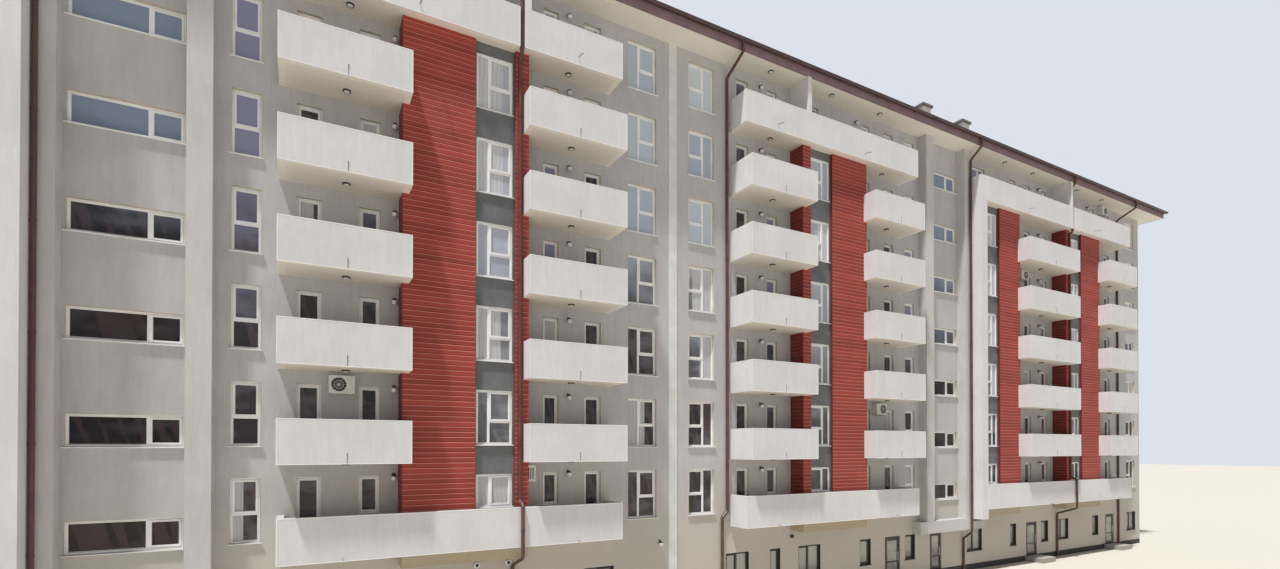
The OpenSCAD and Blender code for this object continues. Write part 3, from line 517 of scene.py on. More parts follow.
# %% Painted metal and plastic
def painted(name, pale, dark, rough=0.4, scale=4.0, top=None):
    """Paint of two shades that dust mixes, and where given a third shade for what faces the sky, which is
    dust and a painted shade.
    """
    tree = Tree(name)
    place = tree.place()
    dust = tree.noise(place, scale, 4, 0.6)
    colour = tree.mix(dust.smooth(0.3, 0.75), dark, pale)
    # Faces towards the sky take the third shade: dust and a painted shade.
    if top is not None:
        colour = tree.mix(tree.facing_up().smooth(0.2, 0.7), colour, top)
    return tree.finish(colour, roughness=dust * 0.25 + (rough - 0.12),
                       height=tree.noise(place, scale * 12, 2), distance=0.0008, strength=0.3)


# Its tops take dust and a painted shade.
white_frame = painted("white_frame", (249, 249, 249), (238, 238, 238), 0.35, top=DUST_AND_TOP_SHADE)
reveal_paint = painted("reveal_paint", (214, 205, 190), (196, 186, 170), 0.8)
pale_cover = painted("pale_cover", (226, 229, 225), (212, 216, 211), 0.5)
grey_panel = painted("grey_panel", (116, 117, 119), (100, 102, 105), 0.5)
mauve_metal = painted("mauve_metal", (146, 118, 122), (126, 100, 104), 0.4)
gutter_metal = painted("gutter_metal", (84, 62, 66), (68, 50, 54), 0.35)
brown_pipe = painted("brown_pipe", (102, 67, 60), (80, 53, 48), 0.4)
dark_metal = painted("dark_metal", (66, 64, 66), (50, 49, 52), 0.4)
# The fan's dark colour, and the painted shade of the fan openings and the slots.
fan_black = painted("fan_black", (40, 40, 42), (26, 26, 28), 0.5)
cap_grey = painted("cap_grey", (128, 126, 120), (104, 102, 98), 0.6)
# Its tops take a darker grey: a painted shade.
spout_grey = painted("spout_grey", (176, 173, 168), (146, 143, 138), 0.6, top=(150, 148, 145))
# The dark streak below the short spouts: dirt, and a painted shadow of the spout.
rain_streak = painted("rain_streak", (150, 144, 136), (116, 110, 104), 0.8, 20.0)
unit_case = painted("unit_case", (228, 228, 224), (208, 207, 202), 0.45)
lamp_glass = painted("lamp_glass", (246, 246, 242), (232, 232, 226), 0.2)
roof_sheet = painted("roof_sheet", (104, 70, 62), (84, 56, 50), 0.45, 0.8)
print("metals made")

# %% [markdown]
# Seen from outside by day, a window is a dark room behind a faint mirror of the sky. Higher windows mirror
# more sky, lower ones the darker ground, and here and there a curtain hangs behind the glass. A real room
# behind each pane would cost much and show little, so the glass itself is painted that way: a painted
# reflection of the sky and of houses over the painted darkness of a room, and curtains whose folds are
# painted shade. Each window's chance says whether a curtain hangs there, its height gives the sky, and its
# light coordinates carry the curtain's folds. The windows by the joint show a painted reflection of a
# brighter sky.


# %% Window glass
# Three shades of each kind of room behind the glass: a painted interior, dark as an unlit room looks from
# outside.
ROOM = ((66, 62, 64), (92, 80, 82), (108, 106, 111))
STAIR_ROOM = ((36, 29, 31), (72, 54, 56), (72, 68, 70))
BAY_ROOM = ((76, 76, 79), (104, 102, 102), (134, 134, 138))
STREET = ((92, 92, 88), (140, 138, 128), (168, 166, 156))


def window_glass(name, curtain_share, sky_from, sky_to, sky_colour=(156, 157, 188), room=ROOM, rise=0.0,
                 joint_skies=None):
    """Glass before a room of three shades; rise is by how much more curtains hang a metre higher up,
    and joint_skies are two shades of the open sky that only the windows by the joint mirror."""
    tree = Tree(name, IOR=1.42)
    place = tree.place()
    x, y, z = tree.parts(place)
    own, across, up = tree.carried()
    clouds = tree.noise(tree.join(x * 0.9 + own * 9.0, y * 0.9, z * 2.2), 1.0, 4, 0.6)
    # A painted reflection of the sky, more of it higher up.
    sky = (z + clouds * 2.4 + own * 1.6 + up * 0.4).smooth(sky_from, sky_to)
    # A painted reflection of houses, laid over the room's shades.
    house_reflections = tree.noise(tree.join(x * 2.6 + own * 9.0, y * 2.6, z * 0.35), 1.0, 3, 0.45)
    panels = (x * 31.0 + z * 9.0).sine() * 0.10 + house_reflections
    deep = tree.mix(panels.smooth(0.50, 0.57), room[0], room[1])
    inside = tree.mix(clouds.smooth(0.46, 0.66), deep, room[2])
    # A painted reflection of a brighter, open sky in the windows by the joint.
    if joint_skies is not None:
        open_sky = tree.mix((own * 3.0).fract(), *joint_skies)
        sky_colour = tree.mix(x.size().smooth(1.25, 1.05), sky_colour, open_sky)
    glass = tree.mix(sky, inside, sky_colour)
    # The curtain's folds are painted shade: the cloth is darker in each fold.
    folds = (across * 52.0 + own * 30.0 + clouds * 14.0).sine() * 0.5 + 0.5
    cloth = tree.mix(folds * (clouds * 0.9 + 0.1), (214, 214, 215), (184, 185, 189))
    hung = ((own * 7.0).fract() + (z - 6.0) * rise).above(1.0 - curtain_share)
    edge = (across - (own * 5.0).fract() * 0.6).above(0.0)
    curtain = hung * edge * 0.8
    return tree.finish(tree.mix(curtain, glass, cloth), roughness=clouds * 0.08 + 0.03,
                       alpha=curtain * 0.15 + 0.85)


SKY_LOW, SKY_HIGH = 7.0, 10.6
room_glass = window_glass("room_glass", 0.22, SKY_LOW, SKY_HIGH,
                          joint_skies=((186, 197, 214), (224, 233, 241)))
bay_glass = window_glass("bay_glass", 0.5, SKY_LOW - 2.5, SKY_HIGH - 0.5, (192, 198, 210), BAY_ROOM, 0.09)
stair_glass = window_glass("stair_glass", 0.03, SKY_LOW + 0.6, SKY_HIGH, (147, 161, 184), STAIR_ROOM)
door_glass = window_glass("door_glass", 0.12, SKY_LOW + 4.0, SKY_HIGH + 6.0)
street_glass = window_glass("street_glass", 0.0, 0.6, 4.2, (196, 195, 184), STREET)
print("glass made")

# %% [markdown]
# The floors inside are bare concrete with soft mottles, and the landings before the doors have tiles
# with darker joints, which reuse the balconies' tile joints. Each tile gets its own shade from one
# noise that is read at whole numbers of tiles.


# %% Concrete and tiles
def concrete(name, pale, dark):
    """Two shades by a mottle of noise, which also makes the bumps."""
    tree = Tree(name, Roughness=0.85)
    place = tree.place()
    mottle = tree.noise(place, 3.0, 6, 0.65)
    return tree.finish(tree.mix(mottle.smooth(0.3, 0.7), dark, pale), height=mottle, distance=0.003)


def tiles(name, pale, dark):
    """Joints in the dark shade, and tiles between that and the pale one, each by its own number."""
    tree = Tree(name, Roughness=0.6)
    place = tree.place()
    x, y, z = tree.parts(place)
    joints = tile_joints(x, y)
    number = tree.noise(tree.join((x / TILE).floor(), (y / TILE).floor(), z * 0.1), 3.7, 0)
    return tree.finish(tree.mix(joints * (number * 0.7 + 0.3), dark, pale), height=joints, distance=0.002)


floor_concrete = concrete("floor_concrete", (190, 187, 180), (168, 165, 158))
landing_tiles = tiles("landing_tiles", (172, 168, 160), (134, 130, 124))
print("concrete made")

# %% [markdown]
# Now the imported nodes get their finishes. Balcony slabs are cream underneath, where the photograph
# shows them, and tiled on top. The shapes themselves stay as packed.

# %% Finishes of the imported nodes
finishes = {
    dark_plinth: ["plinth"],
    floor_concrete: ["floor_slabs", "bay_floors"],
    cream_plaster: ["roof_slab", "balcony_slabs", "long_ledges"],
    # The bay bases take the painted warm shade.
    base_plaster: ["bay_bases"],
    grey_plaster: ["grey_walls", "top_walls", "gable_walls", "ground_walls", "door_lintels", "stair_walls"],
    light_plaster: ["pilasters", "entrance_canopies"],
    white_plaster: ["white_frames", "parapet_fronts", "parapet_returns", "balcony_dividers", "chimneys"],
    pale_cover: ["joint_covers"],
    red_wall: ["red_walls"],
    dark_red: ["bay_cheeks"],
    grey_panel: ["bay_strips"],
    mauve_metal: ["long_fascias", "end_fascias"],
    gutter_metal: ["long_gutters", "end_gutters"],
    brown_pipe: ["downpipes", "pipe_bends"],
    cap_grey: ["chimney_caps"],
    dark_metal: ["door_frames", "fixed_doors", "shop_door", "stair_door", "wing_door", "end_door"],
    unit_case: ["air_conditioners"],
    roof_sheet: ["roof"],
    landing_tiles: ["landings"],
}
for material, names in finishes.items():
    for name in names:
        data = frame["nodes"][name].data
        data.materials.clear()
        data.materials.append(material)
print("dressed nodes", sum(len(names) for names in finishes.values()))

# %% [markdown]
# Every window is a white plastic frame with one to three lights. A light that opens has a sash of its
# own, which stands a little proud, and a fixed one a thin bead. A bevelled cube for each bar would
# leave seams at the corners, so each profile is carried round its rectangle instead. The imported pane
# says where the hole is, and a pattern of shares says how its lights divide it: across from the
# joint's side to the gable's side, up from the sill, and whether the light opens.

# %% Profiles and patterns of the windows
FRAME_W, SASH_W, BEAD_W, BAR_W = 0.030, 0.030, 0.008, 0.026
FRAME_OUT, CROSSBAR_OUT, BAR_BACK = 0.018, 0.0175, 0.012
GLASS_T, GLASS_LIP = 0.008, 0.004
FRAME_PROFILE = [(FRAME_W, -0.030), (FRAME_W, -0.006), (FRAME_W - 0.006, 0.0), (0.0, 0.0), (0.0, -0.030)]
SASH_PROFILE = [(SASH_W, -0.026), (SASH_W, -0.004), (SASH_W - 0.006, 0.005), (0.0, 0.005), (0.0, -0.026)]
BEAD_PROFILE = [(BEAD_W, -0.022), (BEAD_W, -0.006), (0.0, -0.002), (0.0, -0.022)]
PATTERNS = {
    "wide": [(0.0, 0.61, 0.0, 0.44, False), (0.0, 0.61, 0.44, 1.0, True), (0.61, 1.0, 0.0, 1.0, False)],
    "bay": [(0.0, 0.67, 0.0, 0.42, False), (0.0, 0.67, 0.42, 1.0, True), (0.67, 1.0, 0.0, 1.0, False)],
    "low_bay": [(0.0, 0.64, 0.0, 1.0, True), (0.64, 1.0, 0.0, 1.0, False)],
    "narrow": [(0.0, 1.0, 0.0, 0.44, False), (0.0, 1.0, 0.44, 1.0, True)],
    "single": [(0.0, 1.0, 0.0, 1.0, True)],
    "door": [(0.0, 1.0, 0.0, 0.34, True), (0.0, 1.0, 0.34, 1.0, True)],
    "stair_left": [(0.0, 0.31, 0.0, 1.0, True), (0.31, 1.0, 0.0, 1.0, False)],
    "stair_right": [(0.0, 0.69, 0.0, 1.0, False), (0.69, 1.0, 0.0, 1.0, True)],
    "pair": [(0.0, 0.5, 0.0, 1.0, True), (0.5, 1.0, 0.0, 1.0, False)],
}
random = np.random.default_rng(6)


def windows(frames, glass, spots, pattern):
    """Adds one kind of window at all its spots to the shapes of frames and glass. The edge of a light
    lies at its share of the space inside the frame, and half a bar inwards where it meets a bar."""
    level, half_bar = spots.out1 + FRAME_OUT, BAR_W / 2
    frames.rings(spots, spots.u0, spots.u1, spots.z0, spots.z1, level, FRAME_PROFILE)
    own = random.random(len(spots))
    inner_u0, inner_w = spots.u0 + FRAME_W, spots.width - 2 * FRAME_W
    inner_z0, inner_h = spots.z0 + FRAME_W, spots.height - 2 * FRAME_W
    back = spots.out1 - BAR_BACK
    for a0, a1, b0, b1, opens in PATTERNS[pattern]:
        u0, u1 = inner_u0 + a0 * inner_w, inner_u0 + a1 * inner_w
        z0, z1 = inner_z0 + b0 * inner_h, inner_z0 + b1 * inner_h
        if a1 < 1 and b0 == 0:
            frames.blocks(spots, u1 - half_bar, u1 + half_bar, back, level, inner_z0, inner_z0 + inner_h)
        u0, u1 = u0 + (half_bar if a0 > 0 else 0), u1 - (half_bar if a1 < 1 else 0)
        if b1 < 1:
            frames.blocks(spots, u0, u1, back, spots.out1 + CROSSBAR_OUT, z1 - half_bar, z1 + half_bar)
        z0, z1 = z0 + (half_bar if b0 > 0 else 0), z1 - (half_bar if b1 < 1 else 0)
        profile, rim = (SASH_PROFILE, SASH_W) if opens else (BEAD_PROFILE, BEAD_W)
        frames.rings(spots, u0, u1, z0, z1, level, profile)
        edge = rim - GLASS_LIP
        glass.pane(spots, own, u0 + edge, u1 - edge, spots.out1 - GLASS_T, spots.out1, z0 + edge, z1 - edge)


print("window patterns", len(PATTERNS))

# %% [markdown]
# Around the frame go a sill that sheds the rain, with its outer edge lowered, and a thin painted skin
# on the sides and the top of the opening, whose shade is warmer than the wall's. The skins of the
# sides end where the top's begins, because two faces in one place would render black.

# %% Sills, reveals and all windows of a node
WALL_FACE, BAY_FACE = 0.070, 0.037
SILL_PAST, SILL_PROUD, SILL_BELOW, SILL_ABOVE, SILL_FALL = 0.022, 0.028, 0.014, 0.006, 0.010
SKIN, SKIN_BACK, SKIN_PROUD = 0.004, 0.019, 0.003
WIDE, NARROW, STREET_WIDE, TALL = 0.5, 0.33, 0.45, 0.7


def add_reveals(reveals, spots, outer):
    """Three thin blocks at the sides and the top of each opening, out to its wall's outer face."""
    for u0, u1, z0, z1 in ((spots.u0, spots.u0 + SKIN, spots.z0, spots.z1 - SKIN),
                           (spots.u1 - SKIN, spots.u1, spots.z0, spots.z1 - SKIN),
                           (spots.u0, spots.u1, spots.z1 - SKIN, spots.z1)):
        reveals.blocks(spots, u0, u1, spots.out1 + SKIN_BACK, outer + SKIN_PROUD, z0, z1)


def dress_windows(node, kinds, face, glass_material, sills=None, reveals=None, frame_material=white_frame,
                  slot="frame_white"):
    """Frames and glass for all panes of a node; kinds gives each pattern and the test that picks its
    panes, and face is how far the wall's outer face lies before the panes."""
    spots = Spots(solids(node))
    frames, glass = Shape(), Shape()
    for pattern, test in kinds.items():
        windows(frames, glass, spots.pick(test(spots)), pattern)
    name = node.replace("_panes", "")
    frames.piece(name + "_frames", frame_material, slot)
    made = glass.piece(name + "_glass", glass_material, "glass_clear")
    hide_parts(node)
    outer = spots.out1 + face
    if sills is not None:
        sills.blocks(spots, spots.u0 - SILL_PAST, spots.u1 + SILL_PAST, spots.out1 + FRAME_OUT,
                     outer + SILL_PROUD, spots.z0 - SILL_BELOW, spots.z0 + SILL_ABOVE, drop=SILL_FALL)
    if reveals is not None:
        add_reveals(reveals, spots, outer)
    return spots


# %% [markdown]
# The rooms have windows of three widths, the bays tall ones and low ones, and the stairs have their
# narrow light on one side in each half. So each kind is picked by its size or its side, and what it
# needs is passed along. The ground storey's windows are dark metal instead of white plastic.

# %% Windows of the rooms, balconies, bays, stairs and the ground storey
sills, street_sills, reveals, street_reveals = Shape(), Shape(), Shape(), Shape()
room_panes = dress_windows("room_panes", {
    "wide": lambda panes: panes.width >= WIDE,
    "narrow": lambda panes: (panes.width >= NARROW) & (panes.width < WIDE),
    "single": lambda panes: panes.width < NARROW,
}, WALL_FACE, room_glass, sills, reveals)
dress_windows("balcony_door_panes", {"door": lambda panes: panes.width > 0}, WALL_FACE, door_glass,
              reveals=reveals)
bay_panes = dress_windows("bay_panes", {
    "bay": lambda panes: panes.height > TALL,
    "low_bay": lambda panes: panes.height <= TALL,
}, BAY_FACE, bay_glass, sills)
dress_windows("stair_panes", {
    "stair_left": lambda panes: panes.side_x < 0,
    "stair_right": lambda panes: panes.side_x > 0,
}, WALL_FACE, stair_glass, sills, reveals)
dress_windows("ground_panes", {
    "pair": lambda panes: panes.width >= STREET_WIDE,
    "single": lambda panes: panes.width < STREET_WIDE,
}, WALL_FACE, street_glass, street_sills, street_reveals, dark_metal, "door_dark")
sills.piece("window_sills", white_frame, "frame_white")
street_sills.piece("ground_sills", dark_metal, "cap_dark")
reveals.piece("window_reveals", reveal_paint, "soffit_cream")
street_reveals.piece("ground_reveals", dark_metal, "door_dark")

# %% [markdown]
# The red walls are clad with boards, 17 to a storey. Along the upper edge of each board a pale line is
# painted, a painted highlight where the high sun would catch the edge, and above it a gap keeps a fine
# shadow. A bump in the material would show neither from the side, so each board is a block of its own, whose
# outer upper edge is lowered a little. On the bays' cheeks the boards face sideways, so there the two outer
# corners are lowered.

# %% Red boards on the walls and the cheeks of the bays
STOREY, BOARDS_A_STOREY = 1.375, 17
PITCH, GAP, PROUD, CHAMFER = STOREY / BOARDS_A_STOREY, 0.004, 0.010, 0.005
BOARD_PAST, BOARD_BACK, CHEEK_START, CHEEK_SHORT = 0.004, 0.0005, 0.002, 0.001
LEAST_BOARD = 0.05


def counted(counts):
    """Each row's index as often as its count says, and beside it 0, 1, 2 and so on."""
    return np.repeat(np.arange(len(counts)), counts), np.concatenate([np.arange(n) for n in counts])


def board_rows(spots):
    """For every board its wall, its foot at a whole number of pitches, and its top, which is a gap
    short of the next board's foot and no higher than the wall."""
    wall, step = counted(np.ceil(spots.height / PITCH - LEAST_BOARD).astype(int))
    on = spots.pick(wall)
    foot = on.z0 + PITCH * step
    return on, foot, np.minimum(foot + PITCH - GAP, on.z1)


def board_numbers(n):
    """For n boards a chance each, and for their corners 0 at the lower edge and 1 at the upper one."""
    heights = np.tile(np.array([(0.0, corner % 2) for corner in range(8)]), (n, 1))
    return {"chance": random.random(n), "light": heights}


red_spots = Spots(solids("red_walls"))
boards, cheeks = Shape(), Shape()
on, foot, top = board_rows(red_spots)
boards.blocks(on, on.u0 - BOARD_PAST, on.u1 + BOARD_PAST, on.out1 + BOARD_BACK, on.out1 + PROUD, foot, top,
              drop=CHAMFER, **board_numbers(len(foot)))

on, foot, top = board_rows(Spots(solids("bay_cheeks")))
nearest_pane = np.abs(bay_panes.u0 - on.u0[:, None]).argmin(axis=1)
inner = on.u0 < bay_panes.middle_u[nearest_pane]
face_u = np.where(inner, on.u0 - PROUD, on.u1)
cheek = block(face_u, face_u + PROUD, CHEEK_START, red_spots.out1.max() - CHEEK_SHORT, foot, top)
outer_edge = np.where(inner, 0, 4)[:, None] + np.array([1, 3])
np.put_along_axis(cheek[..., 2], outer_edge, (top - CHAMFER)[:, None], axis=1)
cheeks.add(cheek, BLOCK_FACES, on, **board_numbers(len(foot)))
boards.piece("red_cladding", red_boards, "board_red")
# The cheeks take the darker copy of the boards' paint, a painted shade.
cheeks.piece("cheek_cladding", cheek_boards, "board_red")

# %% [markdown]
# Each parapet drains through a thin spout: a long tube on the long balconies, and a short stub on the short
# ones, with a dark streak below it that is dirt and a painted shadow of the spout. A spout is a lathe with a
# wall and a bore, and it slopes because every point sinks with its distance from the parapet, which is
# simpler than turning it.

# %% Spouts and their streaks
SPOUT_R, SPOUT_BORE, SPOUT_BASE, SPOUT_ROOT, SPOUT_FALL, STUB = 0.010, 0.007, 0.004, 0.002, 0.25, 0.011
SPOUT_UP, LOW_SPOUT_UP, APART = 0.150, 0.045, 0.01
LOW_SPOUTS_U, HIGH_SPOUTS_U = (2.254, 5.908, 12.567, 16.596), (2.257, 4.870, 11.520, 15.160)
STREAK_HALF, STREAK_SUNK, STREAK_PROUD, STREAK_FOOT, STREAK_TOP = 0.006, 0.001, 0.0006, 0.012, 0.004
parapets = Spots(solids("parapet_fronts"))
SHORT_OUT, LONG_OUT = parapets.out1.max(), parapets.out1.min()
short = parapets.pick(parapets.out1 > LONG_OUT + APART)
spouts, streaks = Shape(), Shape()


def add_spouts(spots, centres, length):
    """Open tubes that come out of the parapet; height falls by a quarter of the way outwards."""
    profile = [(0.0, 0.0), (SPOUT_R, 0.0), (SPOUT_R, length), (SPOUT_BORE, length), (SPOUT_BORE, SPOUT_BASE),
               (0.0, SPOUT_BASE)]
    points, faces = lathe(centres, profile, OUTWARDS, TUBE_SIDES)
    points[..., 2] -= (points[..., 1] - centres[:, 1, None]) * SPOUT_FALL
    spouts.add(points, faces, spots)


centres = np.stack([short.middle_u, short.out1 - SPOUT_ROOT, short.z0 + SPOUT_UP], axis=-1)
add_spouts(short, centres, STUB)
u, z = centres[:, 0], centres[:, 2]
# A thin dark streak under each stub: dirt and a painted shadow of the spout.
streaks.blocks(short, u - STREAK_HALF, u + STREAK_HALF, short.out1 - STREAK_SUNK, short.out1 + STREAK_PROUD,
               short.z0 + STREAK_FOOT, z - STREAK_TOP)
low_z, high_z = parapets.z0.min() + LOW_SPOUT_UP, parapets.z0.max() + SPOUT_UP
for row, spout_z in ((LOW_SPOUTS_U, low_z), (HIGH_SPOUTS_U, high_z)):
    places = [(u, LONG_OUT - SPOUT_ROOT, spout_z) for u in row]
    add_spouts(*marks(places, QUARTERS), SHORT_OUT - LONG_OUT - SPOUT_BASE)
spouts.piece("balcony_spouts", spout_grey, "unit_white", smooth=True)
streaks.piece("spout_streaks", rain_streak, "balcony_cream")

# %% [markdown]
# The edges of a parapet are plastered over thin metal corner beads, which keep them straight. They show as a
# fine bright outline, so a flat ring in a whiter paint than the plaster runs round the face of each parapet:
# a painted highlight along its edges.

# %% Corner beads of the parapets
CORNER_W, CORNER_PROUD, CORNER_SUNK = 0.012, 0.0015, 0.001
CORNER = [(CORNER_W, -CORNER_SUNK), (CORNER_W, CORNER_PROUD), (0.0, CORNER_PROUD), (0.0, -CORNER_SUNK)]
# The bead rings take the frames' whiter paint, a painted highlight along the parapet edges.
highlight_beads = Shape()
highlight_beads.rings(parapets, parapets.u0, parapets.u1, parapets.z0, parapets.z1, parapets.out1, CORNER)
highlight_beads.piece("parapet_corner_beads", white_frame, "parapet_white")

# %% [markdown]
# Under the slabs and the eaves hang round lamps: a dark rim and a pale glass bowl. A short balcony has
# one in its middle and a long one has two. The bowl is closed above too, where the rim hides it, so
# that its mesh has no open edge.

# %% Ceiling lamps
RIM = [(0.0, -0.020), (0.044, -0.020), (0.046, -0.026), (0.056, -0.022), (0.056, 0.0), (0.0, 0.0)]
BOWL = [(0.0, -0.037), (0.014, -0.036), (0.030, -0.032), (0.042, -0.024), (0.044, -0.018), (0.0, -0.018)]
LAMP_SUNK, LEAST_DEPTH, LONG_SLAB = 0.001, 0.3, 2.6
EAVES_LAMPS_OUT, EAVES_LAMPS_U = 0.29, (2.288, 4.089, 5.686, 10.825, 12.226, 14.667, 16.172)
slabs = Spots(solids("balcony_slabs"))
slabs = slabs.pick(slabs.out1 - slabs.out0 > LEAST_DEPTH)
eaves_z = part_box("roof_slab")[0].z + LAMP_SUNK
rims, bowls = Shape(), Shape()


def ceiling_lamps(spots, centres):
    """Rims and bowls that hang from their centres."""
    rims.lathes(spots, centres, RIM, UPWARDS, LAMP_SIDES)
    bowls.lathes(spots, centres, BOWL, UPWARDS, LAMP_SIDES)


is_long = slabs.width > LONG_SLAB
for which, share in ((~is_long, 0.5), (is_long, 0.16), (is_long, 0.84)):
    chosen = slabs.pick(which)
    ceiling_lamps(chosen, np.stack([chosen.across(share), chosen.middle_out, chosen.z0 + LAMP_SUNK], axis=-1))
ceiling_lamps(*marks([(u, EAVES_LAMPS_OUT, eaves_z) for u in EAVES_LAMPS_U], QUARTERS))
rims.piece("ceiling_lamp_rims", dark_metal, "cap_dark", smooth=True)
bowls.piece("ceiling_lamp_bowls", lamp_glass, "frame_white", smooth=True)

# %% [markdown]
# Beside each small window of the rooms a glass globe hangs from a bracket on the wall, except in one
# row of them. The globe is a half circle turned about the upright axis, and the bracket is a cap, an
# arm and a plate on the wall. One more globe hangs by the joint.

# %% Wall lamps
BALL_R, ARM_HALF, PLATE_HALF, PLATE_T, ARM_END = 0.042, 0.010, 0.022, 0.008, 0.060
ARM_Z, PLATE_Z = (0.044, 0.060), (0.020, 0.082)
LAMP_BESIDE, LAMP_FURTHER, LAMP_OUT, LAMP_DOWN = 0.180, 0.197, 0.070, 0.050
BARE_FROM, BARE_TO = 10.0, 12.0
FIRST_BAY_END, NEAR_FROM, NEAR_TO = 5.0, 12.5, 14.0
JOINT_LAMP = (0.299, 0.055, 1.455)
angle = np.linspace(0, np.pi, 9)
BALL = np.stack([BALL_R * np.sin(angle), -BALL_R * np.cos(angle)], axis=-1).tolist()
CAP = [(0.0, 0.030), (0.028, 0.030), (0.034, 0.040), (0.018, 0.060), (0.0, 0.062)]
small = room_panes.pick(room_panes.width < NARROW)
bare_u = small.u0[(small.u0 > BARE_FROM) & (small.u0 < BARE_TO)].min()
small = small.pick(np.abs(small.u0 - bare_u) > APART)
near = (small.u0 < FIRST_BAY_END) | ((small.u0 > NEAR_FROM) & (small.u0 < NEAR_TO))
lamp_u = np.where(near, small.u0 - LAMP_BESIDE, small.u0 - LAMP_FURTHER)
centres = np.stack([lamp_u, np.full(len(small), LAMP_OUT), small.z1 - LAMP_DOWN], axis=-1)
globes, holders = Shape(), Shape()
for spots, centres in ((small, centres), marks([JOINT_LAMP], LEFT_FRONT)):
    u, z = centres[:, 0], centres[:, 2]
    globes.lathes(spots, centres, BALL, UPWARDS, GLOBE_SIDES)
    holders.lathes(spots, centres, CAP, UPWARDS, GLOBE_SIDES)
    holders.blocks(spots, u - ARM_HALF, u + ARM_HALF, 0.0, ARM_END, z + ARM_Z[0], z + ARM_Z[1])
    holders.blocks(spots, u - PLATE_HALF, u + PLATE_HALF, 0.0, PLATE_T, z + PLATE_Z[0], z + PLATE_Z[1])
globes.piece("wall_lamp_globes", lamp_glass, "frame_white", smooth=True)
holders.piece("wall_lamp_holders", dark_metal, "cap_dark")

# %% [markdown]
# The ground storey has small round lights by its entrances, pale rings with a dark middle, and one
# dark globe. A roller shutter's box stands before the wall over the first window past the right
# half's stair: a block with a lowered front edge, on a wider and thin bottom rail.

# %% Lights and shutter box of the ground storey
RING = [(0.030, 0.0), (0.052, 0.0), (0.052, 0.026), (0.044, 0.032), (0.030, 0.028), (0.030, 0.0)]
LENS = [(0.0, 0.0), (0.031, 0.0), (0.031, 0.016), (0.016, 0.022), (0.0, 0.023)]
STREET_LIGHTS = [(3.859, 0.0, 1.375), (3.320, 0.0, 1.375)]
DARK_GLOBE = (3.105, 0.036, 1.370)
BOX_U0, BOX_U1, BOX_OUT, BOX_Z0, BOX_Z1, BOX_FALL = 9.429, 10.067, 0.130, 1.130, 1.355, 0.012
RAIL_PAST, RAIL_PROUD, RAIL_T, RAIL_INTO = 0.006, 0.004, 0.007, 0.001
light_rings, light_lenses, shutter_box = Shape(), Shape(), Shape()
by_doors, centres = marks(STREET_LIGHTS, LEFT_FRONT)
light_rings.lathes(by_doors, centres, RING, OUTWARDS, LAMP_SIDES)
light_lenses.lathes(by_doors, centres, LENS, OUTWARDS, LAMP_SIDES)
light_lenses.lathes(*marks([DARK_GLOBE], RIGHT_FRONT), BALL, UPWARDS, GLOBE_SIDES)
light_rings.piece("street_light_rings", white_frame, "frame_white", smooth=True)
light_lenses.piece("street_light_lenses", dark_metal, "cap_dark", smooth=True)
past_stair, _ = marks([(BOX_U0, 0.0, BOX_Z0)], RIGHT_FRONT)
shutter_box.blocks(past_stair, BOX_U0, BOX_U1, 0.0, BOX_OUT, BOX_Z0, BOX_Z1, drop=BOX_FALL)
shutter_box.blocks(past_stair, BOX_U0 - RAIL_PAST, BOX_U1 + RAIL_PAST, 0.0, BOX_OUT + RAIL_PROUD,
                   BOX_Z0 - RAIL_T, BOX_Z0 + RAIL_INTO)
shutter_box.piece("shutter_box", light_plaster, "unit_white")

# %% [markdown]
# Downpipes hang from clips, one to a storey. A clip is a short wide ring round the pipe with a block
# that reaches back to the wall. The clips of a pipe share its length evenly, away from its bends.

# %% Pipe clips
CLIP = band(0.028, 0.035, -0.014, 0.014)
STAY_HALF, STAY_HALF_Z, STAY_BACK, STAY_INTO = 0.008, 0.010, 0.012, 0.004
LEAST_RUN, CLIP_FREE = 0.5, 0.2
clips = Shape()
runs = Spots(solids("downpipes"))
runs = runs.pick(runs.height > LEAST_RUN)
counts = np.maximum(runs.height // STOREY, 1).astype(int)
run, step = counted(counts)
on = runs.pick(run)
z = on.z0 + CLIP_FREE + (on.height - 2 * CLIP_FREE) * (step + 0.5) / counts[run]
centres = np.stack([on.middle_u, on.middle_out, z], axis=-1)
u = centres[:, 0]
clips.lathes(on, centres, CLIP, UPWARDS, CLIP_SIDES)
clips.blocks(on, u - STAY_HALF, u + STAY_HALF, on.out0 - STAY_BACK, on.out0 + STAY_INTO, z - STAY_HALF_Z,
             z + STAY_HALF_Z)
clips.piece("pipe_clips", brown_pipe, "pipe_brown")

# %% [markdown]
# The outdoor units need their fan: a dark disc behind a grille of rings and spokes, which is the fan's dark
# colour and the painted shade of its opening, and two brackets below the case. The units that stand sideways
# show slots instead, dark strips of painted shade. A picture of a grille would look flat from the side, and
# these few bars cost little.

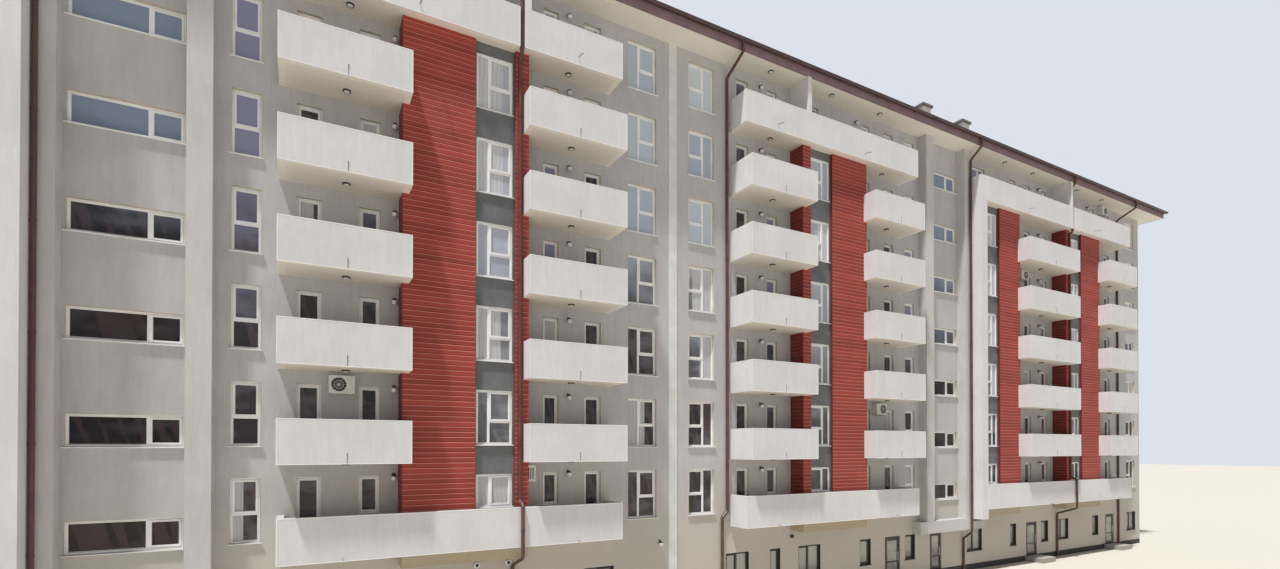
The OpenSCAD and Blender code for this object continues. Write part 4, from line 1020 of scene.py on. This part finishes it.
# %% Fans, slots and brackets of the outdoor units
FAN_SHARE, FAN_R, FAN_OUT = 0.62, 0.105, (0.001, 0.0025)
WIRE_HALF, WIRE_OUT, WIRE_RINGS = 0.002, (0.004, 0.008), (0.020, 0.062, FAN_R)
SPOKES, SPOKE_HALF, SPOKE_OUT = 6, 0.0015, (0.004, 0.007)
BRACKET_HALF, BRACKET_SHORT, BRACKET_H, BRACKETS = 0.008, 0.01, 0.016, (0.2, 0.8)
SLOT_HALF, SLOT_SUNK, SLOT_PROUD, SLOT_FREE, SLOTS = 0.007, 0.001, 0.0015, 0.035, (0.22, 0.41, 0.60, 0.79)
SIDEWAYS_W = 0.2
units = Spots(solids("air_conditioners"))
faced, sideways = units.pick(units.width > SIDEWAYS_W), units.pick(units.width <= SIDEWAYS_W)
dark, grille = Shape(), Shape()
centres = np.stack([faced.across(FAN_SHARE), faced.out1, (faced.z0 + faced.z1) / 2], axis=-1)
dark.lathes(faced, centres, rod(FAN_R, *FAN_OUT), OUTWARDS, FAN_SIDES)
for radius in WIRE_RINGS:
    wire = band(radius - WIRE_HALF, radius + WIRE_HALF, *WIRE_OUT)
    grille.lathes(faced, centres, wire, OUTWARDS, FAN_SIDES)
for spoke in range(SPOKES):
    turn = math.pi * spoke / SPOKES
    along = np.array([math.cos(turn), 0, math.sin(turn)])
    across = np.array([-math.sin(turn), 0, math.cos(turn)])
    corners = [s * FAN_R * along + t * SPOKE_HALF * across + np.array([0, out, 0])
               for s in (-1, 1) for out in SPOKE_OUT for t in (-1, 1)]
    grille.add(centres[:, None, :] + np.array(corners)[None], BLOCK_FACES, faced)
for share in BRACKETS:
    u = faced.across(share)
    grille.blocks(faced, u - BRACKET_HALF, u + BRACKET_HALF, 0.0, faced.out1 - BRACKET_SHORT,
                  faced.z0 - BRACKET_H, faced.z0)
# Slots are dark strips on the case: painted shade of openings.
for share in SLOTS:
    u = sideways.across(share)
    dark.blocks(sideways, u - SLOT_HALF, u + SLOT_HALF, sideways.out1 - SLOT_SUNK, sideways.out1 + SLOT_PROUD,
                sideways.z0 + SLOT_FREE, sideways.z1 - SLOT_FREE)
dark.piece("unit_fans", fan_black, "cap_dark")
grille.piece("unit_grilles", unit_case, "unit_white")

# %% [markdown]
# The roof is hardly seen from the street. It gets the plain cover that such blocks have: sheets with
# standing seams that run from the eaves up to the ridge or to a hip. All slopes have one pitch, so a
# seam at distance s from a corner is as long in plan as s, up to half of the roof's depth. An array
# of like bars would run past the hips, so each seam's reach is worked out instead.

# %% Roof seams
roof_low, roof_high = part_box("roof")
half_x, half_y, rise = roof_high.x, roof_high.y, roof_high.z - roof_low.z
SEAM_EVERY, SEAM_HALF, SEAM_H, SEAM_LIFT, SEAM_FREE, LEAST_SEAM = 0.30, 0.005, 0.016, 0.003, 0.01, 0.05
seams = Shape()


def slope_seams(half_run, along_x, sign):
    """Seams of one slope; half_run is half of its eaves. A seam is a thin block whose upper end lies
    further in by its reach, and higher by the roof's pitch times its reach."""
    s = np.arange(-half_run + SEAM_EVERY / 2, half_run, SEAM_EVERY)
    reach = np.minimum(half_run - np.abs(s), half_y)
    s, reach = s[reach > LEAST_SEAM], reach[reach > LEAST_SEAM]
    edge = half_y if along_x else half_x
    climb = rise * reach / half_y
    corners = []
    for side in (-SEAM_HALF, SEAM_HALF):
        for end in (0, 1):
            plan = sign * (edge - SEAM_FREE - end * (reach - SEAM_FREE))
            x, y = (s + side, plan) if along_x else (plan, s + side)
            for height in (0.0, SEAM_H):
                z = roof_low.z + end * climb + (1 - end) * SEAM_LIFT + height
                corners.append(np.stack([x, y, z], axis=-1))
    faces = BLOCK_FACES if (sign < 0) == along_x else BLOCK_FACES[:, ::-1]
    seams.add(np.stack(corners, axis=1), faces)


for sign in (-1, 1):
    slope_seams(half_x, True, sign)
    slope_seams(half_y, False, sign)
seams.piece("roof_seams", roof_sheet, "roof_brown")

# %% [markdown]
# Folded caps close the sheets along the ridge and the four hips. A cap could be a curve with a bevel,
# but it has to lie on two slopes at once, so its section of six points is laid across the run and
# each point is raised to the roof's own height there.

# %% Ridge and hip caps
CAP_HALF, CAP_SIDE, CAP_CREST, CAP_SUNK, CAP_FREE = 0.050, 0.018, 0.023, 0.004, 0.06
CAP_ENDS = np.array([[0, 5, 2, 1], [5, 4, 3, 2], [6, 7, 8, 11], [11, 8, 9, 10]])
CAP_SIDES = np.array([[p, (p + 1) % 6, (p + 1) % 6 + 6, p + 6] for p in range(6)])


def roof_height(x, y):
    """The roof's own height: it climbs evenly with the distance from the nearest edge."""
    return roof_low.z + rise / half_y * np.minimum(half_x - np.abs(x), half_y - np.abs(y))


def roof_caps(starts, ends):
    """Caps between points of the plan: offsets square to the run, each as high as the roof there
    and the profile's height over it."""
    starts, ends = np.array(starts, float), np.array(ends, float)
    run = (ends - starts) / np.linalg.norm(ends - starts, axis=1)[:, None]
    square = np.stack([-run[:, 1], run[:, 0]], axis=1)
    across = np.array([1, 1, 0, -1, -1, 0]) * CAP_HALF
    over = np.array([-CAP_SUNK, CAP_SIDE, CAP_CREST, CAP_SIDE, -CAP_SUNK, -CAP_SUNK])
    sections = [end[:, None, :] + across[:, None] * square[:, None, :] for end in (starts, ends)]
    plan = np.stack(sections, axis=1)
    height = roof_height(plan[..., 0], plan[..., 1]) + over
    return np.concatenate([plan, height[..., None]], axis=-1).reshape(len(starts), 12, 3)


ridge_end = half_x - half_y
foot_x, foot_y = half_x - CAP_FREE, half_y - CAP_FREE
hips = [((sx * foot_x, sy * foot_y), (sx * ridge_end, 0.0)) for sx, sy in QUARTERS]
caps = Shape()
caps.add(roof_caps(*zip(*hips, ((-ridge_end, 0.0), (ridge_end, 0.0)))), np.vstack([CAP_SIDES, CAP_ENDS]))
caps.piece("roof_caps", roof_sheet, "roof_brown")
print("roof top", round(roof_high.z, 3))

# %% [markdown]
# Street doors are dark metal leaves with a large pane, a bar at over a third of the height and a pull
# handle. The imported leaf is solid, so thin panes in mouldings lie on both of its sides and read as
# one glazing. What belongs to a leaf rides on that leaf, so it swings along. The left half's doors
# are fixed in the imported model, so their glazing rides on the building.

# %% Door glazing and handles
LEAF_FACE, LEAF_T, GAP_TO_HINGE = -0.030, 0.030, 0.003
LEAF_SIDES = ((LEAF_FACE, 1), (LEAF_FACE - LEAF_T, -1))
BAR_SHARE, BAR_HALF, STILE, FOOT_RAIL, HEAD_RAIL = 0.36, 0.02, 0.055, 0.07, 0.06
PANE_OUT, DOOR_CHANCE = (0.0005, 0.003), 0.21
MOULDING = [(0.012, -0.004), (0.012, 0.002), (0.0, 0.005), (0.0, -0.004)]
MOULDING_PAST, MOULDING_BACK = 0.006, 0.001
HANDLE_IN, HANDLE_OUT, HANDLE, HANDLE_UP = 0.030, 0.026, rod(0.007, 0.0, 0.22), 0.02
STUD_HALF, STUD_OUT, STUDS_UP = 0.005, 0.022, (0.04, 0.20)


def door_parts(name, body, spots):
    """Glazing, mouldings and handles of door leaves, for the spots of the leaves themselves. A part
    on one side of a leaf lies at that side's face plus an offset times the side's sign."""
    glass, trim, handle = Shape(), Shape(), Shape()
    split = spots.z0 + BAR_SHARE * spots.height
    u0, u1, handle_u = spots.u0 + STILE, spots.u1 - STILE, spots.u1 - HANDLE_IN
    for z0, z1 in ((spots.z0 + FOOT_RAIL, split - BAR_HALF), (split + BAR_HALF, spots.z1 - HEAD_RAIL)):
        for face, sign in LEAF_SIDES:
            near, far = sorted(face + out * sign for out in PANE_OUT)
            glass.pane(spots, np.full(len(spots), DOOR_CHANCE), u0, u1, near, far, z0, z1)
            level = face if sign > 0 else face - MOULDING_BACK
            trim.rings(spots, u0 - MOULDING_PAST, u1 + MOULDING_PAST, z0 - MOULDING_PAST, z1 + MOULDING_PAST,
                       level, MOULDING)
    for face, sign in LEAF_SIDES:
        level = np.full(len(spots), face + HANDLE_OUT * sign)
        centres = np.stack([handle_u, level, split + HANDLE_UP], axis=-1)
        handle.lathes(spots, centres, HANDLE, UPWARDS, TUBE_SIDES)
        near, far = sorted((face, face + STUD_OUT * sign))
        for up in STUDS_UP:
            z = split + up
            handle.blocks(spots, handle_u - STUD_HALF, handle_u + STUD_HALF, near, far, z - STUD_HALF,
                          z + STUD_HALF)
    glass.piece(name + "_glass", street_glass, "glass_clear", body)
    trim.piece(name + "_mouldings", dark_metal, "door_dark", body)
    handle.piece(name + "_handles", unit_case, "unit_white", body)


hinges = {joint["child"]: joint["pos_m"] for joint in frame["joints"]}
leaves = []
for body, hinge in hinges.items():
    leaf = body.replace("_leaf", "")
    low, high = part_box(leaf)
    face_y = front_y - LEAF_FACE
    leaves.append([hinge[0] + GAP_TO_HINGE, face_y, low.z, high.x, face_y + LEAF_T, high.z])
    door_parts(leaf, body, Spots(np.array(leaves[-1:])))
mirrored = np.array([[-row[3], row[1], row[2], -row[0], row[4], row[5]] for row in leaves])
door_parts("fixed_doors", "building", Spots(mirrored))

# %% [markdown]
# ## The picture
# The camera stands where the photograph was taken, worked out from the rows of windows. Its horizon
# lies low in the picture. A steep tilt would give that too, but make the walls lean, so the camera
# is tilted by less than a degree and its lens is shifted upwards instead.

# %% Camera
PHOTO_W, PHOTO_H = 1280, 569
FOCAL_PX, HORIZON_ROW = 609.2, 443.6
SENSOR_W, FAR_END = 36.0, 500.0
CAMERA_PLACE, CAMERA_TILT, CAMERA_TURN = (-6.418, -13.989, 3.325), 90.446, -29.01
camera_data = bpy.data.cameras.new("photo_camera")
camera_data.sensor_width = SENSOR_W
camera_data.lens = FOCAL_PX / PHOTO_W * SENSOR_W
camera_data.shift_y = (HORIZON_ROW - PHOTO_H / 2) / PHOTO_W
camera_data.clip_end = FAR_END
camera = placed("photo_camera", camera_data)
camera.location = CAMERA_PLACE
camera.rotation_euler = (math.radians(CAMERA_TILT), 0.0, math.radians(CAMERA_TURN))
bpy.context.scene.camera = camera
print("lens", round(camera_data.lens, 2), "shift", round(camera_data.shift_y, 4))

# %% [markdown]
# The light is that of a bright hazy day: a soft sun high on the left, which only grazes the front, and
# a pale sky. Where the shadows of the balcony ends run on the wall gives the direction of the sun. The
# sky that the camera sees is brighter than the one that lights the walls, since the walls would be
# washed out otherwise, so a Light Path node keeps the two apart.

# %% Sun and sky
SUN_POWER, SUN_WIDTH, SUN_TILT, SUN_TURN = 4.95, 3, 19.0, -62.5
SEEN_SKY, LIT_SKY, SKY_POWER = (0.71, 0.76, 0.82, 1.0), (0.92, 0.95, 1.0, 1.0), 0.425
sun_data = bpy.data.lights.new("soft_sun", "SUN")
sun_data.energy = SUN_POWER
sun_data.angle = math.radians(SUN_WIDTH)
sun = placed("soft_sun", sun_data)
sun.rotation_euler = (math.radians(SUN_TILT), 0.0, math.radians(SUN_TURN))

world = bpy.data.worlds.new("pale_sky")
bpy.context.scene.world = world
world.use_nodes = True
sky = Nodes(world.node_tree)
seen = sky.node("ShaderNodeLightPath", {}, {}, "Is Camera Ray")
shown = sky.node("ShaderNodeBackground", {}, {"Color": SEEN_SKY})
plain = sky.node("ShaderNodeBackground", {}, {"Color": LIT_SKY, "Strength": SKY_POWER})
either = sky.node("ShaderNodeMixShader", {}, {0: seen, 1: plain, 2: shown})
sky.tree.links.new(either.socket, sky.tree.nodes["World Output"].inputs["Surface"])
print("sun tilt", SUN_TILT, "turn", SUN_TURN)

# %% [markdown]
# Much of the light on the undersides of the balconies comes back from the ground, so the floor is a
# plain and warm pale plane.

# %% Floor
FLOOR_HALF, FLOOR_COLOUR = 150.0, (0.49, 0.46, 0.405, 1.0)
floor_mesh = bpy.data.meshes.new("pale_floor")
floor_corners = [(FLOOR_HALF * a, FLOOR_HALF * b, 0) for a, b in ((-1, -1), (1, -1), (1, 1), (-1, 1))]
floor_mesh.from_pydata(floor_corners, [], [(0, 1, 2, 3)])
floor_mesh.materials.append(Tree("pale_floor", Roughness=0.95, Base_Color=FLOOR_COLOUR).material)
floor = placed("pale_floor", floor_mesh)
bpy.context.scene.view_settings.view_transform = "Standard"
print("floor side", 2 * FLOOR_HALF)
